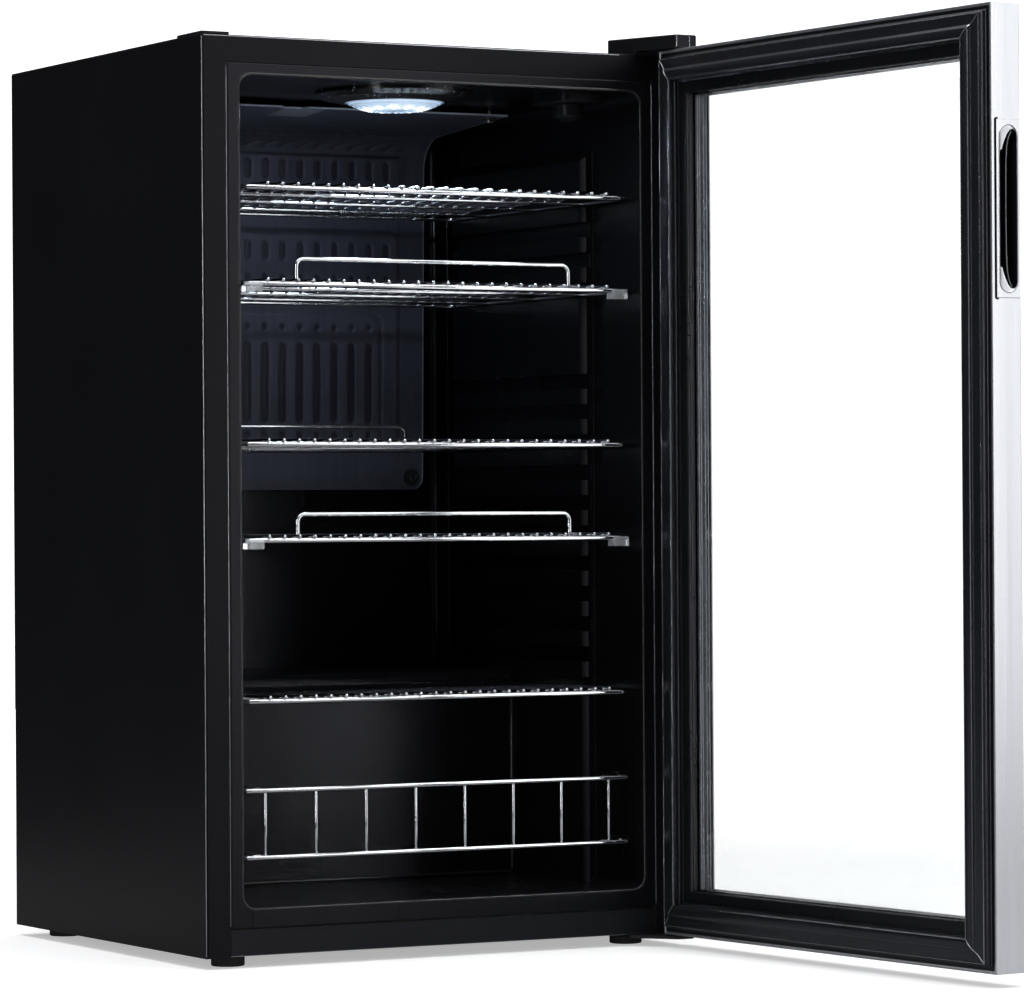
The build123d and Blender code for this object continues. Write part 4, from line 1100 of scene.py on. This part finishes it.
GASKET_SECTION = [
    (7.4, -0.3), (6.7, 1.2), (7.0, 3.0), (8.6, 4.2), (8.4, 5.6), (9.4, 6.8), (12.6, 7.2), (16.4, 7.6),
    (18.0, 8.0), (19.2, 9.4), (21.0, 10.5), (23.6, 11.1), (26.2, 11.1), (28.2, 10.4), (29.4, 9.2),
    (28.8, 8.2), (27.0, 7.2), (26.8, 5.6), (28.6, 4.6), (30.0, 3.6), (29.6, 2.2), (28.2, 1.4),
    (29.9, 0.6), (29.2, -0.3),
]
gasket = door_rings("bellows_gasket", [smooth_loop(GASKET_SECTION)], LOOKS["gasket_rubber"], "gasket_rubber")
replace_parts(gasket, "door_gasket")


def bead_section(inset, depth, radius=0.55):
    """A small round section, as eight points on a circle."""
    angle = np.linspace(0, 2 * np.pi, 8, endpoint=False)
    return np.stack([inset + radius * np.cos(angle), -depth + radius * np.sin(angle)], -1)


front_beads = [bead_section(41.2, depth) for depth in (1.4, 4.2, 7.2)]
door_rings("reveal_beads", front_beads, LOOKS["door_plastic"], "door_plastic")
# The beads on the spacer take the lighter metal: painted highlight lines.
back_beads = [bead_section(42.3, depth, 0.7) for depth in (14.2, 16.4, 21.0, 24.0)]
door_rings("spacer_beads", back_beads, LOOKS["spacer_edge"], "spacer_metal")

# Bright metal beads on the gasket's outer shoulder and ridge edge: painted highlights on the rubber.
gasket_glint_lines = [bead_section(8.9, -6.6, 0.5), bead_section(28.4, -10.5, 0.45)]
door_rings("gasket_glint_lines", gasket_glint_lines, LOOKS["edge_glint"], "gasket_rubber")
door_rings("steel_lip_edge", [bead_section(0.7, -0.1, 0.5)], LOOKS["stainless"], "stainless")


def gasket_welds():
    """The thin raised weld across the gasket at each mitred corner, following its section, in the bright
    metal look as a painted highlight along the weld.
    """
    inset, height = np.array(GASKET_SECTION[5:14]).T * MM
    piece = Piece("gasket_welds")
    for side in (-1, 1):
        for end in (-1, 1):
            x = side * (DOOR_W / 2 - inset)
            z = (DOOR_TOP + DOOR_BOTTOM) / 2 + end * ((DOOR_TOP - DOOR_BOTTOM) / 2 - inset)
            path = open_door(np.stack([x, DOOR_BACK + height, z], -1))
            out = open_door(np.array([(0.0, 1.0, 0.0), (0.0, 0.0, 0.0)]))
            across = np.cross(path[-1] - path[0], out[0] - out[1])
            piece.add(tube(path, 0.35 * MM, across / np.linalg.norm(across), sides=8), around_columns=True)
    return piece.make(LOOKS["edge_glint"], "door", "gasket_rubber")


gasket_welds()

HANDLE_MIDDLE = (-DOOR_W / 2, DOOR_BACK - 16.8 * MM, 0.653)
RECESS_HALF_L, RECESS_HALF_W = 70.5, 9.8


def on_handle(across, along, out):
    """Points on the door's edge, round the handle's middle: across it from the back, up it, and out of it."""
    x = HANDLE_MIDDLE[0] - np.asarray(out) * MM
    y = HANDLE_MIDDLE[1] - np.asarray(across) * MM
    z = HANDLE_MIDDLE[2] + np.asarray(along) * MM
    return open_door(np.stack(np.broadcast_arrays(x, y, z), -1))


def bowed_line(points, count=25):
    """A line through a few points, with straight steps made equal along it."""
    points = np.asarray(points, float)
    run = np.concatenate([[0.0], np.cumsum(np.hypot(*np.diff(points, axis=0).T))])
    at = np.linspace(0.0, run[-1], count)
    return np.stack([np.interp(at, run, points[:, 0]), np.interp(at, run, points[:, 1])], -1)


def open_direction():
    """Outward from the door's edge, where the door stands open."""
    tip = open_door(np.array([(-1.0, 0.0, 0.0), (0.0, 0.0, 0.0)]))
    return tip[0] - tip[1]


def handle_lip():
    """The bright scoops that close both ends of the handle's recess, its rolled rim and its inner edge.
    A scoop joins the end of the outline to the recess's bowed edge, sinking 0.4 mm as sin(pi t / 2)."""
    angle = np.linspace(np.pi, np.pi * 0.12, 16)
    end = RECESS_HALF_L - RECESS_HALF_W
    arc = np.stack([RECESS_HALF_W * np.cos(angle), end + RECESS_HALF_W * np.sin(angle)], -1)
    outer = bowed_line(np.concatenate([[(-RECESS_HALF_W, 49.0)], arc]))
    inner = bowed_line(
        [(-9.0, 49.0), (-6.3, 49.4), (-4.9, 54.0), (-3.2, 58.0), (-0.2, 63.6), (2.8, 66.6), (6.6, 67.2)]
    )
    t = np.linspace(0.0, 1.0, 6)[:, None]
    piece = Piece("handle_lip")
    for side in (1, -1):
        across = outer[:, 0] + (inner[:, 0] - outer[:, 0]) * t
        along = (outer[:, 1] + (inner[:, 1] - outer[:, 1]) * t) * side
        piece.add(on_handle(across, along, 0.5 - 0.4 * np.sin(np.pi * t / 2)))
    turn = np.linspace(0.0, np.pi, 14)
    cap = np.stack([RECESS_HALF_W * np.cos(turn), end + RECESS_HALF_W * np.sin(turn)], -1)
    rim = np.concatenate([cap, -cap])
    out = open_direction()
    piece.add(
        tube(on_handle(rim[:, 0], rim[:, 1], 1.0), 0.45 * MM, out, closed=True, sides=8),
        around_rows=True,
        around_columns=True,
    )
    upper = np.array([(6.4, 65.5), (3.2, 60.0), (1.4, 52.0), (0.5, 38.0)])
    bow = bowed_line(np.concatenate([upper, [(0.2, 0.0)], upper[::-1] * (1, -1)]), 60)
    piece.add(tube(on_handle(bow[:, 0], bow[:, 1], -3.0), 0.6 * MM, out, sides=8), around_columns=True)
    return piece.make(LOOKS["stainless"], "door", "stainless")


handle_lip()


def handle_gap_shadow():
    """A dead black bead along the back edge of the handle's plate, hooked round at both ends: painted shadow
    of the gap there.
    """
    hook = np.array([(-10.8, 75.6), (-12.4, 75.6), (-13.3, 74.6)])
    points = np.concatenate([hook, hook[::-1] * (1, -1)])
    path = on_handle(points[:, 0], points[:, 1], 0.25)
    piece = Piece("handle_gap_shadow").add(tube(path, 0.8 * MM, open_direction(), sides=8), around_columns=True)
    return piece.make(LOOKS["gap_shadow_black"], "door", "black_rubber")


handle_gap_shadow()


# ---------------------------------------------------------------- liner trim
def liner_beads():
    """A rolled bead round the cavity's mouth, and another where its floor meets the step."""
    half, low, high, front = 0.2063, 0.0517, 0.7903, -0.2120
    corners = [(-half, front, low), (half, front, low), (half, front, high), (-half, front, high)]
    mouth = rounded_path(corners, 12.8 * MM, closed=True)
    piece = Piece("liner_beads")
    piece.add(tube(mouth, 1.3 * MM, DEEP, closed=True), around_rows=True, around_columns=True)
    ledge = straight_wires([(-0.19, 0.0145, 0.0553)], [(0.19, 0.0145, 0.0553)], 1.8 * MM, UP)
    piece.add(ledge[0], around_columns=True)
    return piece.make(LOOKS["bead_gloss"], "cabinet", "liner_black")


liner_beads()


def upright_beads(name, places, look, slot):
    """Upright rounded beads: each has a place (x, y), a bottom, a top and a radius."""
    piece = Piece(name)
    for x, y, bottom, top, radius in places:
        wire = straight_wires([(x, y, bottom)], [(x, y, top)], radius, (1.0, 0.0, 0.0))
        piece.add(wire[0], around_columns=True)
    return piece.make(LOOKS[look], "cabinet", slot)


low_shelf_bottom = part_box("shelf_5")[0].z
corner_beads = []
for side in (-1, 1):
    corner_beads += [
        (side * 0.2051, 0.1637, 0.262, 0.735, 0.9 * MM),
        (side * 0.2036, 0.1881, 0.262, 0.735, 2.4 * MM),
        (side * 0.1926, 0.0151, 0.058, low_shelf_bottom - 3 * MM, 2.2 * MM),
    ]
upright_beads("liner_corners", corner_beads, "bead_gloss", "liner_black")

panel_lo, panel_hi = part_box("left_side_panel")
front_y, low_z, high_z = panel_lo.y, panel_lo.z + 2 * MM, panel_hi.z - 2 * MM
# Bright metal beads on the front folds stand for the light on the bends: painted highlight. A dead black bead
# beside each outer fold stands for the shade there: painted shadow.
fold_glint_beads, seams = [], []
for side in (-1, 1):
    fold_glint_beads.append((side * 0.2418, front_y + 0.2 * MM, low_z, high_z, 0.45 * MM))
    fold_glint_beads.append((side * 0.2181, front_y + 0.1 * MM, low_z + 26 * MM, high_z - 25 * MM, 0.3 * MM))
    seams.append((side * 0.2404, front_y + 0.5 * MM, low_z, high_z, 0.8 * MM))
upright_beads("fold_glint_lines", fold_glint_beads, "edge_glint", "cabinet_paint")
upright_beads("fold_shadow_lines", seams, "gap_shadow_black", "cabinet_paint")


def top_fold_glint():
    """A bright metal bead on the top panel's front fold: painted highlight of its bend."""
    y, z = front_y + 0.2 * MM, high_z + 1.7 * MM
    wire = straight_wires([(-0.2395, y, z)], [(0.184, y, z)], 0.45 * MM, UP)
    piece = Piece("top_fold_glint").add(wire[0], around_columns=True)
    return piece.make(LOOKS["edge_glint"], "cabinet", "cabinet_paint")


top_fold_glint()

cover_lo, cover_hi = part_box("top_hinge_cover")
# Bright metal beads on the hinge cover's front corners: painted highlights of its rounded corners.
ribs = [
    (0.2188, cover_lo.y + 0.3 * MM, DOOR_TOP + 3 * MM, cover_hi.z - 2 * MM, 0.55 * MM),
    (0.2325, cover_lo.y + 0.1 * MM, DOOR_TOP + 3 * MM, cover_hi.z - 2 * MM, 0.45 * MM),
]
upright_beads("cover_corner_glints", ribs, "edge_glint", "black_cover")


# ---------------------------------------------------------------- stage
def studio_floor():
    """A wide pale floor that fades into the background far from the fridge."""
    look, tree, shader = start_look("pale_floor", Roughness=0.9, Specular_IOR_Level=0.1)
    tone = use_group(tree, "tone", size=2.0, dark=grey(0.86), light=grey(0.9), smooth=0.85, rough=0.95)
    shader["Emission Color"].default_value = (1.0, 1.0, 1.0, 1.0)
    ray = node(tree, "ShaderNodeLightPath").outputs
    shiny = math_node(tree, "MULTIPLY", ray["Is Glossy Ray"], ray["Is Reflection Ray"])
    join(
        tree,
        shader,
        Base_Color=blend_colour(tree, math_node(tree, "MULTIPLY", shiny, 0.75), tone["Colour"], grey(0.1)),
        Roughness=tone["Roughness"],
        Emission_Strength=spread(tree, shiny, 0.42, 0.0),
    )
    _, distance = vector_node(tree, "LENGTH", object_place(tree))
    near = map_range(tree, distance, 0.95, 1.9, 1.0, 0.0, interpolation_type="SMOOTHSTEP")
    join(tree, shader, Alpha=near)
    side = np.linspace(-3.0, 3.0, 25)
    x, y = np.meshgrid(side, side)
    made = Piece("studio_floor").add(np.stack([x, y, np.zeros_like(x)], -1)).make(look, None, None)
    return made


studio_floor()


def softbox(name, place, target, width, height, radiance, colour=(1.0, 1.0, 1.0)):
    """A soft rectangular light that faces its target. Its power is radiance x pi x area."""
    data = bpy.data.lights.new(name, "AREA")
    data.shape = "RECTANGLE"
    data.size, data.size_y = width, height
    data.energy = radiance * math.pi * width * height
    data.color = colour
    lamp = bpy.data.objects.new(name, data)
    bpy.context.scene.collection.objects.link(lamp)
    lamp.location = place
    lamp.rotation_euler = (Vector(target) - Vector(place)).to_track_quat("-Z", "Y").to_euler()
    lamp.visible_camera = False
    return lamp


softbox("overhead_softbox", (0.0, -0.3, 2.6), (0.0, -0.3, 0.0), 3.4, 3.4, 2.3)
softbox("front_right_softbox", (1.9, -3.4, 1.0), (0.1, -0.3, 0.45), 1.5, 2.2, 1.9)
softbox("front_left_strip", (-2.9, -2.2, 0.9), (0.0, -0.2, 0.45), 0.2, 2.0, 18.0)
below_lens = (LIGHT_CENTRE.x, LIGHT_CENTRE.y, LIGHT_LO.z - 2 * MM)
cabin = softbox(
    "cabin_light", below_lens, (LIGHT_CENTRE.x, LIGHT_CENTRE.y, 0.0), 0.07, 0.07, 30.0, (0.74, 0.87, 1.0)
)
cabin.data.shape = "DISK"


def studio_world():
    """White where the background is seen, straight or through glass. What it lights gets a dim studio."""
    world = bpy.data.worlds.new("studio")
    world.use_nodes = True
    tree = world.node_tree
    seen = node(tree, "ShaderNodeLightPath").outputs
    direct = math_node(tree, "MAXIMUM", seen["Is Camera Ray"], seen["Is Transmission Ray"])
    direction = node(tree, "ShaderNodeTexCoord").outputs["Generated"]
    height = node(tree, "ShaderNodeSeparateXYZ", {0: direction}).outputs["Z"]
    overhead = map_range(tree, height, 0.1, 0.9, 0.04, 0.4)
    white = (1.5, 1.5, 1.5, 1.0)
    red, green = (math_node(tree, "MULTIPLY", overhead, share) for share in (0.93, 0.94))
    dim = node(tree, "ShaderNodeCombineColor", {"Red": red, "Green": green, "Blue": overhead}).outputs[0]
    background = tree.nodes["Background"]
    tree.links.new(blend_colour(tree, direct, dim, white), background.inputs["Color"])
    bpy.context.scene.world = world


studio_world()

CAMERA_PLACE = Vector((-2.0056, -3.9326, 0.3966))
CAMERA_YAW, CAMERA_PITCH, CAMERA_ROLL = math.radians(29.131), math.radians(0.183), math.radians(-0.347)
CAMERA_LENS = 164.4


def studio_camera():
    """A long lens in front of the fridge, to its left, a little under half its height."""
    forward = Vector(
        (
            math.sin(CAMERA_YAW) * math.cos(CAMERA_PITCH),
            math.cos(CAMERA_YAW) * math.cos(CAMERA_PITCH),
            math.sin(CAMERA_PITCH),
        )
    )
    level = Vector((math.cos(CAMERA_YAW), -math.sin(CAMERA_YAW), 0.0))
    above = level.cross(forward)
    right = level * math.cos(CAMERA_ROLL) + above * math.sin(CAMERA_ROLL)
    up = right.cross(forward)
    data = bpy.data.cameras.new("studio_camera")
    data.lens = CAMERA_LENS
    data.sensor_width = 36.0
    data.clip_start, data.clip_end = 0.1, 60.0
    camera = bpy.data.objects.new("studio_camera", data)
    bpy.context.scene.collection.objects.link(camera)
    turn = Matrix((right, up, -forward)).transposed().to_4x4()
    camera.matrix_world = Matrix.Translation(CAMERA_PLACE) @ turn
    bpy.context.scene.camera = camera


studio_camera()
bpy.context.scene.view_settings.view_transform = "Standard"
